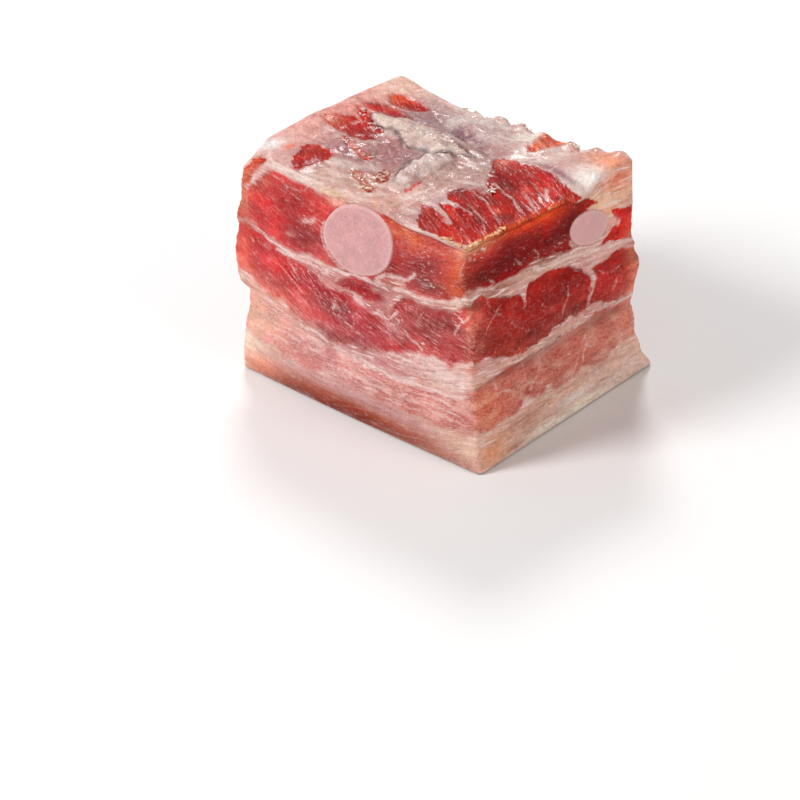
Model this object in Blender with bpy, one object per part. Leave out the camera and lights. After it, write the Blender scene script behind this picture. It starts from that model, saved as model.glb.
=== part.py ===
"""Cured pork belly: one square-cut block, rind down, with the gristly end of one rib in it.

The block is a box of meat whose eight corners, four sides and top are pushed to the uneven
form of a real cut. The rib's cartilage bends through it and shows as an oval on two cuts.
Sizes below are in millimetres, and MM turns them into metres where a mesh is written.
"""

import bmesh
import bpy
import numpy as np

MM = 0.001

# The block before it is pushed out of square: front cut, side cut and height over the rind
WIDTH = 61.0
DEPTH = 44.4
HEIGHT = 46.0

# Faces along each side, and how much closer together they are at the edges than midway
CELLS = (36, 27, 28)
CROWDING = 0.42

# Radii of the knife-cut edges
EDGE_SIDE = 1.1
EDGE_TOP = 0.9
EDGE_RIND = 0.6

# How far each corner stands from the square block's own, as (x, y)
CORNERS = {
    "front left rind": (-1.4, -3.1),
    "front right rind": (2.3, -2.2),
    "back left rind": (-1.0, 2.5),
    "back right rind": (-0.2, 3.2),
    "front left top": (-1.2, 1.5),
    "front right top": (-0.4, -0.3),
    "back left top": (0.2, -0.3),
    "back right top": (1.2, -1.1),
}

# Swell of each side against height, as (height, outward)
LEFT_SWELL = (
    (0, 0), (3, 0.2), (10, -0.4), (14, -1.4), (17.4, -1.3), (18.6, 2.0), (24, 2.4), (31, 2.4), (38, 0.6), (46, 0.6)
)
BACK_SWELL = ((0, 2.2), (5, -0.2), (10.5, -1.7), (17, -1.3), (25.5, 0.7), (31, -0.4), (39, 0.4), (46, 0.7))
FRONT_SWELL = ((0, 0.5), (4, 0.1), (14, -0.2), (24, 0.5), (30, -0.1), (37, 0.5), (46, 0))
RIGHT_SWELL = ((0, 0.2), (5, 0.0), (12, 0.4), (18.5, -0.1), (27, 0.5), (33, 0.3), (40, -1.2), (45.5, 0.2))
SWELL_REACH = 13.0   # the swell has died away this deep in the meat
SWELL_WANDER = 3.0   # it rises and falls this far along the hidden sides
TOP_REACH = 7.0      # the forms on the top have died away this far down

# The two fat seams on the cuts, which sink a little: height along the front and along the side
SEAM_UPPER_FRONT = ((0, 30), (12, 28.3), (25, 27.8), (36, 29.8), (48, 30.2), (61, 34.5))
SEAM_UPPER_SIDE = ((0, 36.5), (8, 35), (14, 35), (25, 33), (33, 30.5), (44.4, 30))
SEAM_LOWER_FRONT = ((0, 18.5), (10, 16), (24, 13.6), (40, 13.5), (52, 16.3), (61, 18))
SEAM_LOWER_SIDE = ((0, 19.5), (8, 18.8), (20, 18.6), (31, 18.8), (44.4, 17.8))
SEAM_SINK = 0.35
SEAM_HALF = 1.7

# Forms on the top: (x, y, half length, half width, turn in degrees, height)
TOP_FORMS = {
    "fat lump at the back right": (57.5, 40.0, 9.0, 7.0, 55, 2.2),
    "fascia over the rib": (32.0, 0.0, 10.5, 6.0, 0, 1.3),
    "left fat rim": (0.5, 29.0, 22.0, 6.0, 90, 1.5),
    "torn membrane": (20.0, 29.0, 13.0, 4.4, -4, 1.4),
    "pale lobe": (32.0, 17.5, 8.5, 4.2, 100, 1.6),
    "hollow by the lobe": (22.5, 18.5, 6.5, 5.0, 70, -1.3),
    "crease behind the membrane": (28.0, 34.0, 11.0, 1.9, -14, -1.2),
    "dip in the back rim": (19.0, 43.5, 8.0, 3.6, 0, -0.9),
    "oval muscle": (11.5, 7.5, 6.0, 3.6, 115, 0.7),
    "dip before the lump": (61.0, 30.5, 3.2, 2.6, 0, -1.3),
    "striated muscle": (53.0, 14.0, 15.0, 8.5, 105, 0.6),
    "fat behind the muscle": (41.0, 38.5, 5.0, 4.0, 30, 0.7),
}

# Fibre ridges of the striated muscle, and the knobs along the back rim
FIBRE_TURN = -28
FIBRE_PITCH = 4.6
FIBRE_RISE = 0.28
KNOB_PITCH = 6.3
KNOB_RISE = 0.55
KNOB_DEPTH = 4.0

# The corner cut off the top at the front left: where it meets the two rims, and its fall
NOTCH_ALONG = 5.0
NOTCH_BACK = 8.0
NOTCH_FALL = 0.75

# The rib's cartilage: the middle of the path's start, bend and end, its half sizes, and its tilt
RIB_START = (31.7, 0.0, 37.3)
RIB_BEND = (33.5, 29.5, 37.2)
RIB_END = (61.0, 31.5, 37.8)
RIB_HALF_WIDTH = (9.3, 5.0)
RIB_HALF_HEIGHT = (7.7, 3.8)
RIB_TILT = 12
RIB_SIDES = 30
RIB_STEPS = 16
RIB_PROUD = 2.5   # the path runs on this far past each cut before it is trimmed
RIB_GAP = 0.3     # clearance between the cartilage and the meat


def eased(t):
    """The smooth step 3t^2 - 2t^3, flat at 0 and at 1."""
    t = np.clip(t, 0.0, 1.0)
    return t * t * (3.0 - 2.0 * t)


def line_through(points, x):
    """The height at x of a line that eases from each point to the next."""
    xs = np.array([p[0] for p in points], float)
    ys = np.array([p[1] for p in points], float)
    i = np.clip(np.searchsorted(xs, x) - 1, 0, len(xs) - 2)
    return ys[i] + (ys[i + 1] - ys[i]) * eased((x - xs[i]) / (xs[i + 1] - xs[i]))


def mound(x, y, form):
    """A flat-topped oval mound: height * exp(-(a^2 + b^2)^2), a and b along its axes."""
    cx, cy, half_length, half_width, turn, height = form
    c, s = np.cos(np.radians(turn)), np.sin(np.radians(turn))
    a = ((x - cx) * c + (y - cy) * s) / half_length
    b = ((y - cy) * c - (x - cx) * s) / half_width
    return height * np.exp(-((a * a + b * b) ** 2))


def seam(front, side, x, y):
    """The height of a seam that runs through the meat from its line on the front to its line on the side."""
    return line_through(front, x) + line_through(side, y) - line_through(side, 0.0 * y)


def top_rise(x, y):
    """How far the top stands over HEIGHT at (x, y)."""
    rise = sum(mound(x, y, form) for form in TOP_FORMS.values())
    turn = np.radians(FIBRE_TURN)
    across = (y * np.cos(turn) - x * np.sin(turn)) / FIBRE_PITCH
    in_muscle = mound(x, y, TOP_FORMS["striated muscle"]) / TOP_FORMS["striated muscle"][-1]
    rise += FIBRE_RISE * np.sin(2 * np.pi * across) * in_muscle
    at_back = eased(1.0 - (DEPTH - y) / KNOB_DEPTH) * eased((x - 18.0) / 6.0)
    rise += KNOB_RISE * np.sin(2 * np.pi * x / KNOB_PITCH) * at_back
    into_corner = 1.0 - x / NOTCH_ALONG - y / NOTCH_BACK
    return rise - NOTCH_FALL * NOTCH_ALONG * np.clip(into_corner, 0.0, 1.0)


def rounded(p):
    """The square block's surface with its edges rounded: a corner's offset is cut back to a unit length."""
    low = np.array([EDGE_SIDE, EDGE_SIDE, EDGE_RIND])
    high = np.array([WIDTH - EDGE_SIDE, DEPTH - EDGE_SIDE, HEIGHT - EDGE_TOP])
    inner = np.clip(p, low, high)
    radius = np.full_like(p, EDGE_SIDE)
    radius[:, 2] = np.where(p[:, 2] > HEIGHT / 2, EDGE_TOP, EDGE_RIND)
    offset = (p - inner) / radius
    length = np.linalg.norm(offset, axis=1, keepdims=True)
    return inner + offset / np.maximum(length, 1.0) * radius


def pushed(p, top=1.0):
    """Points of the square block, moved to the form of the real cut; top is the share of the top's forms."""
    x, y, z = p.T
    s, t, w = x / WIDTH, y / DEPTH, z / HEIGHT
    dx, dy, dz = np.zeros_like(x), np.zeros_like(x), np.zeros_like(x)
    for name, (out_x, out_y) in CORNERS.items():
        share = (s if "right" in name else 1 - s) * (t if "back" in name else 1 - t)
        share = share * (w if "top" in name else 1 - w)
        dx += out_x * share
        dy += out_y * share

    sink = np.zeros_like(x)
    for front, side in ((SEAM_UPPER_FRONT, SEAM_UPPER_SIDE), (SEAM_LOWER_FRONT, SEAM_LOWER_SIDE)):
        sink += SEAM_SINK * np.exp(-(((z - seam(front, side, x, y)) / SEAM_HALF) ** 2))

    near_left = eased(1 - x / SWELL_REACH)
    near_right = eased(1 - (WIDTH - x) / SWELL_REACH)
    near_front = eased(1 - y / SWELL_REACH)
    near_back = eased(1 - (DEPTH - y) / SWELL_REACH)
    near_top = top * eased(1 - (HEIGHT - z) / TOP_REACH)
    left_z = z - SWELL_WANDER * np.sin(1.4 * np.pi * t)
    back_z = z - SWELL_WANDER * np.sin(1.7 * np.pi * (1 - s)) * w
    recess = np.where(z > 30, eased(1 - (y - 16) / 12), 1.0)
    dx -= near_left * ((1 - 0.5 * t) * line_through(LEFT_SWELL, left_z) - sink)
    dx += near_right * (recess * line_through(RIGHT_SWELL, z) - sink)
    dy -= near_front * (np.sin(np.pi * np.clip(s, 0, 1)) * line_through(FRONT_SWELL, z) - sink)
    dy += near_back * ((0.35 + 0.65 * s) * line_through(BACK_SWELL, back_z) - sink)
    dz += near_top * top_rise(x, y)
    return p + np.stack([dx, dy, dz], axis=1)


def read_points(bm):
    return np.array([v.co for v in bm.verts], float)


def write_points(bm, points):
    for vert, point in zip(bm.verts, points):
        vert.co = point


def split_along(bm, axis, cuts):
    """Cut every edge that runs along one axis into equal lengths."""
    edges = [e for e in bm.edges if abs((e.verts[0].co - e.verts[1].co)[axis]) > 1e-6]
    bmesh.ops.subdivide_edges(bm, edges=edges, cuts=cuts, use_grid_fill=True)


def block_mesh():
    """A cube cut into cells, closer near its edges, rounded and pushed to the form of the cut."""
    bm = bmesh.new()
    bmesh.ops.create_cube(bm, size=1.0)
    for axis, cells in enumerate(CELLS):
        split_along(bm, axis, cells - 1)
    share = read_points(bm) + 0.5
    share -= CROWDING * np.sin(2 * np.pi * share) / (2 * np.pi)
    points = pushed(rounded(share * np.array([WIDTH, DEPTH, HEIGHT])))
    write_points(bm, points)
    under = [f for f in bm.faces if all(abs(v.co.z) < 1e-6 for v in f.verts)]
    bmesh.ops.dissolve_faces(bm, faces=under)
    bmesh.ops.triangulate(bm, faces=bm.faces[:])
    return bm, points


def rib_mesh(grow):
    """A cylinder bent along the rib's path, thinning from the front cut to the side cut."""
    bm = bmesh.new()
    bmesh.ops.create_cone(bm, cap_ends=True, segments=RIB_SIDES, radius1=1, radius2=1, depth=1)
    split_along(bm, 2, RIB_STEPS - 1)
    across, upward, share = read_points(bm).T
    share = share + 0.5
    start, bend, end = (np.array(point) for point in (RIB_START, RIB_BEND, RIB_END))
    heading_in = (bend - start) / np.linalg.norm(bend - start)
    heading_out = (end - bend) / np.linalg.norm(end - bend)
    start = start - RIB_PROUD * heading_in
    end = end + RIB_PROUD * heading_out
    t = share[:, None]
    path = (1 - t) ** 2 * start + 2 * t * (1 - t) * bend + t ** 2 * end
    heading = (1 - t) * (bend - start) + t * (end - bend)
    heading /= np.linalg.norm(heading, axis=1, keepdims=True)
    side = np.cross(heading, [0, 0, 1.0])
    side /= np.linalg.norm(side, axis=1, keepdims=True)
    up = np.cross(side, heading)
    half_width = RIB_HALF_WIDTH[0] + (RIB_HALF_WIDTH[1] - RIB_HALF_WIDTH[0]) * share + grow
    half_height = RIB_HALF_HEIGHT[0] + (RIB_HALF_HEIGHT[1] - RIB_HALF_HEIGHT[0]) * share + grow
    c, s = np.cos(np.radians(RIB_TILT)), np.sin(np.radians(RIB_TILT))
    a, b = across * half_width, upward * half_height
    points = path + (a * c - b * s)[:, None] * side + (a * s + b * c)[:, None] * up
    write_points(bm, pushed(points, top=0.0))
    bmesh.ops.triangulate(bm, faces=bm.faces[:])
    bmesh.ops.recalc_face_normals(bm, faces=bm.faces[:])
    return bm


def new_object(name, bm, collection, move):
    """The mesh in metres, with the middle of the block's base at the world's origin."""
    bmesh.ops.translate(bm, verts=bm.verts[:], vec=move)
    bmesh.ops.scale(bm, verts=bm.verts[:], vec=(MM, MM, MM))
    mesh = bpy.data.meshes.new(name)
    bm.to_mesh(mesh)
    bm.free()
    obj = bpy.data.objects.new(name, mesh)
    collection.objects.link(obj)
    return obj


def new_material(name, colour, roughness):
    material = bpy.data.materials.new(name)
    material.use_nodes = True
    shader = material.node_tree.nodes["Principled BSDF"]
    shader.inputs["Base Color"].default_value = (*colour, 1.0)
    shader.inputs["Roughness"].default_value = roughness
    shader.inputs["Metallic"].default_value = 0.0
    return material


def new_collection(name):
    collection = bpy.data.collections.new(name)
    bpy.context.scene.collection.children.link(collection)
    return collection


def boolean(obj, operation, other):
    modifier = obj.modifiers.new(operation.lower(), "BOOLEAN")
    modifier.operation = operation
    modifier.solver = "EXACT"
    modifier.object = other


def as_guide(obj):
    obj.hide_render = True
    obj.display_type = "WIRE"
    return obj


def main():
    for obj in list(bpy.data.objects):
        bpy.data.objects.remove(obj)
    parts = new_collection("cured_pork_belly")
    cutters = new_collection("cutters")

    block, points = block_mesh()
    low, high = points.min(axis=0), points.max(axis=0)
    move = (-(low[0] + high[0]) / 2, -(low[1] + high[1]) / 2, -low[2])
    outline = as_guide(new_object("block_outline", block.copy(), cutters, move))
    tunnel = as_guide(new_object("rib_tunnel", rib_mesh(RIB_GAP), cutters, move))

    belly = new_object("pork_belly", block, parts, move)
    belly.data.materials.append(new_material("cured_meat", (0.43, 0.10, 0.08), 0.35))
    boolean(belly, "DIFFERENCE", tunnel)

    rib = new_object("rib_cartilage", rib_mesh(0.0), parts, move)
    rib.data.materials.append(new_material("cartilage", (0.66, 0.39, 0.38), 0.3))
    boolean(rib, "INTERSECT", outline)

    for obj in (belly, rib):
        obj.data.shade_smooth()
        obj.data.set_sharp_from_angle(angle=np.radians(50))


main()
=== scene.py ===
import bpy
import numpy as np
from mathutils import Matrix, Vector


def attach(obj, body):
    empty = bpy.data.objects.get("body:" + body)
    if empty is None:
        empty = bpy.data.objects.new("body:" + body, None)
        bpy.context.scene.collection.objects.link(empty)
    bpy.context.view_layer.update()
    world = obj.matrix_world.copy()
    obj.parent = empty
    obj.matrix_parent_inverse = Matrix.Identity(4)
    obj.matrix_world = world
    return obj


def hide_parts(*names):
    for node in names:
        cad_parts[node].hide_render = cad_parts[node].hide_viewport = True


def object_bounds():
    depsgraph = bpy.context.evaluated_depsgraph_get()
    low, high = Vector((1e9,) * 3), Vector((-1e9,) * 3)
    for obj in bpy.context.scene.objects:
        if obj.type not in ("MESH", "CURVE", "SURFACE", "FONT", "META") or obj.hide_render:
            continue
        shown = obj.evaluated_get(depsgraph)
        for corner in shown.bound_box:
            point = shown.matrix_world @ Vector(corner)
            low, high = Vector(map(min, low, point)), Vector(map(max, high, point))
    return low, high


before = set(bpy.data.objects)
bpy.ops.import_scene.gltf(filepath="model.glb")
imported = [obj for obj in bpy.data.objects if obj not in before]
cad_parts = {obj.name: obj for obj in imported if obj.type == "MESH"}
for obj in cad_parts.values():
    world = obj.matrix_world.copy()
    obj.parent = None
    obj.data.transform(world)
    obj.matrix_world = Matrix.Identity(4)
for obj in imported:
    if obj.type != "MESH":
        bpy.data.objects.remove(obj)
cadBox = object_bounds()
mm = 0.001
print("frame loaded")

# The block's form, in millimetres: x along the front cut from its left, y to the back, z up from the rind, on
# the square block before its sides are pushed out to the real cut. Swells are pairs of (height, how far out).
blockForm = {
    "size": (61.0, 44.4, 46.0),
    "cells": (150, 110, 114),
    "edgeSide": 1.1,
    "edgeTop": 0.9,
    "edgeRind": 0.6,
    "corners": {   # how far each corner stands from the square block's own
        "front left rind": (-1.4, -3.1),
        "front right rind": (2.3, -2.2),
        "back left rind": (-1.0, 2.5),
        "back right rind": (-0.2, 3.2),
        "front left top": (-1.2, 1.5),
        "front right top": (-0.4, -0.3),
        "back left top": (0.2, -0.3),
        "back right top": (1.2, -1.1),
    },
    "leftSwell": (0, 0, 3, 0.2, 10, -0.4, 14, -1.4, 17.4, -1.3, 18.6, 2, 24, 2.4, 31, 2.4, 38, 0.6, 46,
        0.6),
    "backSwell": (0, 2.2, 5, -0.2, 10.5, -1.7, 17, -1.3, 25.5, 0.7, 31, -0.4, 39, 0.4, 46, 0.7),
    "frontSwell": (0, 0.5, 4, 0.1, 14, -0.2, 24, 0.5, 30, -0.1, 37, 0.5, 46, 0),
    "rightSwell": (0, 0.2, 5, 0, 12, 0.4, 18.5, -0.1, 27, 0.5, 33, 0.3, 40, -1.2, 45.5, 0.2),
    "swellReach": 13.0,
    "swellWander": 3.0,
    "wanderTurns": {"left": 1.4, "back": 1.7},
    "rightFade": {"above": 30, "from": 16, "over": 12},   # where the right cut's swell dies out to the back
    "backLeast": 0.35,
    "topReach": 7.0,
}

# Mounds and hollows on the top: (x, y, half length, half width, turn in degrees, height)
topForms = {
    "fatLump": (57.5, 40.0, 9.0, 7.0, 55, 2.2),
    "fasciaOverRib": (32.0, 0.0, 10.5, 6.0, 0, 1.3),
    "leftFatRim": (0.5, 29.0, 22.0, 6.0, 90, 1.5),
    "tornMembrane": (20.0, 29.0, 13.0, 4.4, -4, 1.4),
    "paleLobe": (32.0, 17.5, 8.5, 4.2, 100, 1.6),
    "hollowByLobe": (22.5, 18.5, 6.5, 5.0, 70, -1.3),
    "creaseBehindMembrane": (28.0, 34.0, 11.0, 1.9, -14, -1.2),
    "dipInBackRim": (19.0, 43.5, 8.0, 3.6, 0, -0.9),
    "ovalMuscle": (11.5, 7.5, 6.0, 3.6, 115, 0.7),
    "dipBeforeLump": (61.0, 30.5, 3.2, 2.6, 0, -1.3),
    "striatedMuscle": (53.0, 14.0, 15.0, 8.5, 105, 0.6),
    "fatBehindMuscle": (41.0, 38.5, 5.0, 4.0, 30, 0.7),
}
topDetail = {"fibreTurn": -28, "fibrePitch": 4.6, "fibreRise": 0.28, "knobPitch": 6.3, "knobRise": 0.55,
             "knobDepth": 4.0, "knobFrom": 18.0, "knobOver": 6.0, "notchAlong": 5.0, "notchBack": 8.0,
             "notchFall": 0.75}
seamForm = {
    "upperFront": (0, 30, 12, 28.3, 25, 27.8, 36, 29.8, 48, 30.2, 61, 34.5),
    "upperSide": (0, 36.5, 8, 35, 14, 35, 25, 33, 33, 30.5, 44.4, 30),
    "lowerFront": (0, 18.5, 10, 16, 24, 13.6, 40, 13.5, 52, 16.3, 61, 18),
    "lowerSide": (0, 19.5, 8, 18.8, 20, 18.6, 31, 18.8, 44.4, 17.8),
    "sink": 0.35,
    "half": 1.7,
}
width, depth, height = blockForm["size"]


def eased(t):
    # the smooth step 3t^2 - 2t^3, flat at 0 and at 1
    t = np.clip(t, 0.0, 1.0)
    return t * t * (3.0 - 2.0 * t)


def pairs(numbers):
    # lines and outlines are written as runs of numbers, two for each of their points
    return np.array(numbers, float).reshape(-1, 2)


def bell(x, middle, half):
    # exp(-((x - middle) / half)^2)
    return np.exp(-(((x - middle) / half) ** 2))


def lineThrough(points, x):
    # height at x of a line that eases from each point to the next
    xs, ys = pairs(points).T
    i = np.clip(np.searchsorted(xs, x) - 1, 0, len(xs) - 2)
    return ys[i] + (ys[i + 1] - ys[i]) * eased((x - xs[i]) / (xs[i + 1] - xs[i]))


def turned(u, v, cu, cv, turn):
    # (u, v) seen from (cu, cv) with the axes turned by turn degrees
    c, s = np.cos(np.radians(turn)), np.sin(np.radians(turn))
    return (u - cu) * c + (v - cv) * s, (v - cv) * c - (u - cu) * s


def mound(x, y, form):
    # height * exp(-(a^2 + b^2)^2), with a and b the distances along its axes over their half sizes
    cx, cy, halfLength, halfWidth, turn, rise = form
    a, b = turned(x, y, cx, cy, turn)
    return rise * np.exp(-(((a / halfLength) ** 2 + (b / halfWidth) ** 2) ** 2))


def ovalEdge(u, v, cu, cv, halfLength, halfWidth, turn):
    # about how far inside an oval (u, v) lies, in millimetres: (1 - r) * half width
    a, b = turned(u, v, cu, cv, turn)
    return (1.0 - np.hypot(a / halfLength, b / halfWidth)) * min(halfLength, halfWidth)


def runDistance(u, v, start, end):
    # how far (u, v) lies from the straight run between two points
    (ua, va), (du, dv) = start, end - start
    t = np.clip(((u - ua) * du + (v - va) * dv) / (du * du + dv * dv), 0.0, 1.0)
    return np.hypot(u - ua - t * du, v - va - t * dv)


def lineEdge(u, v, points, halfWidth):
    # how far inside a stroke along straight runs between points (u, v) lies: half width - distance
    best = np.full(u.shape, 1e3)
    points = pairs(points)
    for start, end in zip(points[:-1], points[1:]):
        best = np.minimum(best, runDistance(u, v, start, end))
    return halfWidth - best


def cloud(p, size, seed):
    # smooth value noise from -1 to 1: a seeded lattice of random numbers, eased between its points
    n = 64
    lattice = np.random.default_rng(seed).uniform(-1, 1, (n, n, n))
    q = np.asarray(p) / np.asarray(size, float)
    i = np.floor(q).astype(int)
    f = eased(q - i)
    i, j = i % n, (i + 1) % n
    total = 0.0
    for a, fa in ((i[:, 0], 1 - f[:, 0]), (j[:, 0], f[:, 0])):
        for b, fb in ((i[:, 1], 1 - f[:, 1]), (j[:, 1], f[:, 1])):
            nearer, farther = lattice[a, b, i[:, 2]], lattice[a, b, j[:, 2]]
            total = total + fa * fb * (nearer * (1 - f[:, 2]) + farther * f[:, 2])
    return total


def rounded(p):
    # the square block's surface with rounded edges: an offset past the inner box is cut back to unit length
    side, top, rind = (blockForm[name] for name in ("edgeSide", "edgeTop", "edgeRind"))
    inner = np.clip(p, [side, side, rind], [width - side, depth - side, height - top])
    radius = np.full_like(p, side)
    radius[:, 2] = np.where(p[:, 2] > height / 2, top, rind)
    offset = (p - inner) / radius
    return inner + offset / np.maximum(np.linalg.norm(offset, axis=1, keepdims=True), 1.0) * radius


def seamHeight(which, x, y):
    # the sunken seam's height over the front cut's line, carried back as the side cut's line rises
    front, side = seamForm[which + "Front"], seamForm[which + "Side"]
    return lineThrough(front, x) + lineThrough(side, y) - side[1]


def topRise(x, y):
    # how far the top stands over the block's height: its mounds, fibre ridges, back knobs and cut corner
    rise = sum(mound(x, y, form) for form in topForms.values())
    _, across = turned(x, y, 0.0, 0.0, topDetail["fibreTurn"])
    muscle = topForms["striatedMuscle"]
    ridges = np.sin(2 * np.pi * across / topDetail["fibrePitch"])
    rise += topDetail["fibreRise"] * ridges * mound(x, y, muscle) / muscle[-1]
    atBack = eased(1.0 - (depth - y) / topDetail["knobDepth"])
    atBack = atBack * eased((x - topDetail["knobFrom"]) / topDetail["knobOver"])
    rise += topDetail["knobRise"] * np.sin(2 * np.pi * x / topDetail["knobPitch"]) * atBack
    intoCorner = 1.0 - x / topDetail["notchAlong"] - y / topDetail["notchBack"]
    return rise - topDetail["notchFall"] * topDetail["notchAlong"] * np.clip(intoCorner, 0.0, 1.0)


def cornerShift(p):
    # how far the uneven corners carry each point along x and y, shared out in three directions
    s, t, w = p[:, 0] / width, p[:, 1] / depth, p[:, 2] / height
    shift = np.zeros((len(p), 3))
    for name, (outX, outY) in blockForm["corners"].items():
        share = (s if "right" in name else 1 - s) * (t if "back" in name else 1 - t)
        share = share * (w if "top" in name else 1 - w)
        shift[:, 0] += outX * share
        shift[:, 1] += outY * share
    return shift


def pushed(p, top=1.0):
    # points of the square block moved to the real cut: the corners' shift, then each side's swell and the
    # top's rise, eased away inside the meat
    x, y, z = p.T
    s, t, w = x / width, y / depth, z / height
    dx, dy = cornerShift(p)[:, :2].T.copy()
    sink = 0.0
    for which in ("upper", "lower"):
        sink = sink + seamForm["sink"] * bell(z, seamHeight(which, x, y), seamForm["half"])
    reach = blockForm["swellReach"]
    turns, fade = blockForm["wanderTurns"], blockForm["rightFade"]
    leftZ = z - blockForm["swellWander"] * np.sin(turns["left"] * np.pi * t)
    backZ = z - blockForm["swellWander"] * np.sin(turns["back"] * np.pi * (1 - s)) * w
    rightShare = np.where(z > fade["above"], eased(1 - (y - fade["from"]) / fade["over"]), 1.0)
    dx -= eased(1 - x / reach) * ((1 - 0.5 * t) * lineThrough(blockForm["leftSwell"], leftZ) - sink)
    dx += eased(1 - (width - x) / reach) * (rightShare * lineThrough(blockForm["rightSwell"], z) - sink)
    frontShare = np.sin(np.pi * np.clip(s, 0, 1))
    dy -= eased(1 - y / reach) * (frontShare * lineThrough(blockForm["frontSwell"], z) - sink)
    backShare = blockForm["backLeast"] + (1 - blockForm["backLeast"]) * s
    dy += eased(1 - (depth - y) / reach) * (backShare * lineThrough(blockForm["backSwell"], backZ) - sink)
    dz = top * eased(1 - (height - z) / blockForm["topReach"]) * topRise(x, y)
    return p + np.stack([dx, dy, dz], axis=1)


def boxGrid(cells):
    # the lattice points on the six faces of a box and the squares between them, sharing points at the edges;
    # each face is a grid of its two parameters, wound so that it faces out
    quads = []
    for axis in range(3):
        a, b = (axis + 1) % 3, (axis + 2) % 3
        i, j = np.meshgrid(np.arange(cells[a]), np.arange(cells[b]), indexing="ij")
        for side in (0, 1):
            loop = ((0, 0), (1, 0), (1, 1), (0, 1)) if side else ((0, 0), (0, 1), (1, 1), (1, 0))
            corners = np.empty((i.size, 4, 3), int)
            for k, (da, db) in enumerate(loop):
                corners[:, k, axis] = side * cells[axis]
                corners[:, k, a] = (i + da).ravel()
                corners[:, k, b] = (j + db).ravel()
            quads.append(corners)
    quads = np.concatenate(quads)
    points, index = np.unique(quads.reshape(-1, 3), axis=0, return_inverse=True)
    return points / np.array(cells, float), index.reshape(-1, 4)


def newPiece(name, points, faceBlocks, node=None):
    # a mesh object at the origin, its points in metres in the row's frame; each block holds faces of one kind
    mesh = bpy.data.meshes.new(name)
    mesh.from_pydata(points.tolist(), [], [face for block in faceBlocks for face in block.tolist()])
    mesh.shade_smooth()
    piece = bpy.data.objects.new(name, mesh)
    bpy.context.scene.collection.objects.link(piece)
    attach(piece, "root")
    if node:
        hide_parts(node)
    return piece


def closedTube(rings, poles):
    # the faces of a closed skin over rings of points (ring, side, xyz), a pole at each end, wound outwards
    count, sides = rings.shape[:2]
    points = np.concatenate([rings.reshape(-1, 3), poles])
    i, j = np.meshgrid(np.arange(count - 1), np.arange(sides), indexing="ij")
    k = (j + 1) % sides
    near, far = i * sides, (i + 1) * sides
    quads = np.stack([near + j, near + k, far + k, far + j], -1).reshape(-1, 4)
    j, last, pole = np.arange(sides), (count - 1) * sides, np.full(sides, count * sides)
    k = (j + 1) % sides
    caps = np.concatenate([np.stack([pole, k, j], 1), np.stack([pole + 1, last + j, last + k], 1)])
    a, b, c = points[quads[:, 0]], points[quads[:, 1]], points[quads[:, 2]]
    outward = np.einsum("ij,ij->i", np.cross(b - a, c - a), (a + c) / 2 - points.mean(0)).sum() > 0
    return points, quads if outward else quads[:, ::-1], caps if outward else caps[:, ::-1]


def addValues(piece, name, values, kind="FLOAT"):
    # one number, vector or linear colour for each point of the mesh
    key = {"FLOAT": "value", "FLOAT_VECTOR": "vector", "FLOAT_COLOR": "color"}[kind]
    attribute = piece.data.attributes.new(name, kind, "POINT")
    if kind == "FLOAT_COLOR":
        values = np.concatenate([values, np.ones((len(values), 1))], axis=1)
    attribute.data.foreach_set(key, np.asarray(values, np.float32).ravel())


def within(reach, x, y, cx, cy, halfX, halfY):
    # 1 around (cx, cy), eased down to 0 where the distance over the half sizes comes to reach
    return eased(reach - np.hypot((x - cx) / halfX, (y - cy) / halfY))


def linear(colour):
    # the linear light of a colour given from 0 to 255 as a screen shows it
    c = np.asarray(colour, float) / 255.0
    return np.where(c <= 0.04045, c / 12.92, ((c + 0.055) / 1.055) ** 2.4)


share, blockQuads = boxGrid(blockForm["cells"])
flat = share * np.array([width, depth, height])
blockPoints = pushed(rounded(flat))
blockMiddle = (blockPoints.min(0) + blockPoints.max(0)) / 2
cadMiddle = np.array((cadBox[0] + cadBox[1]) / 2) / mm
toFrame = np.array([cadMiddle[0] - blockMiddle[0], cadMiddle[1] - blockMiddle[1], 0.0])
print("block form:", len(blockPoints), "points, moved by", toFrame.round(2))

# The rib's cartilage: it enters at the front cut, bends and leaves by the right cut
ribForm = {
    "start": (32.8, 0.0, 38.5),
    "end": (61.0, 31.9, 38.0),
    "halfWidth": (9.9, 5.1),
    "halfHeight": (7.1, 3.6),
    "tilt": (24, 15),
    "proud": 0.04,
    "rimRound": 0.35,
    "rimFrom": 0.94,
    "sides": 128,
    "steps": 90,
    "capRings": 16,
}


def ribOval(u, z, end):
    # how far inside the cartilage's oval a point of the front cut (end 0) or right cut (end 1) lies
    x, y, up = ribForm["end" if end else "start"]
    tilt = ribForm["tilt"][end] * (-1 if end else 1)
    return ovalEdge(u, z, y if end else x, up, ribForm["halfWidth"][end], ribForm["halfHeight"][end], tilt)


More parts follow.
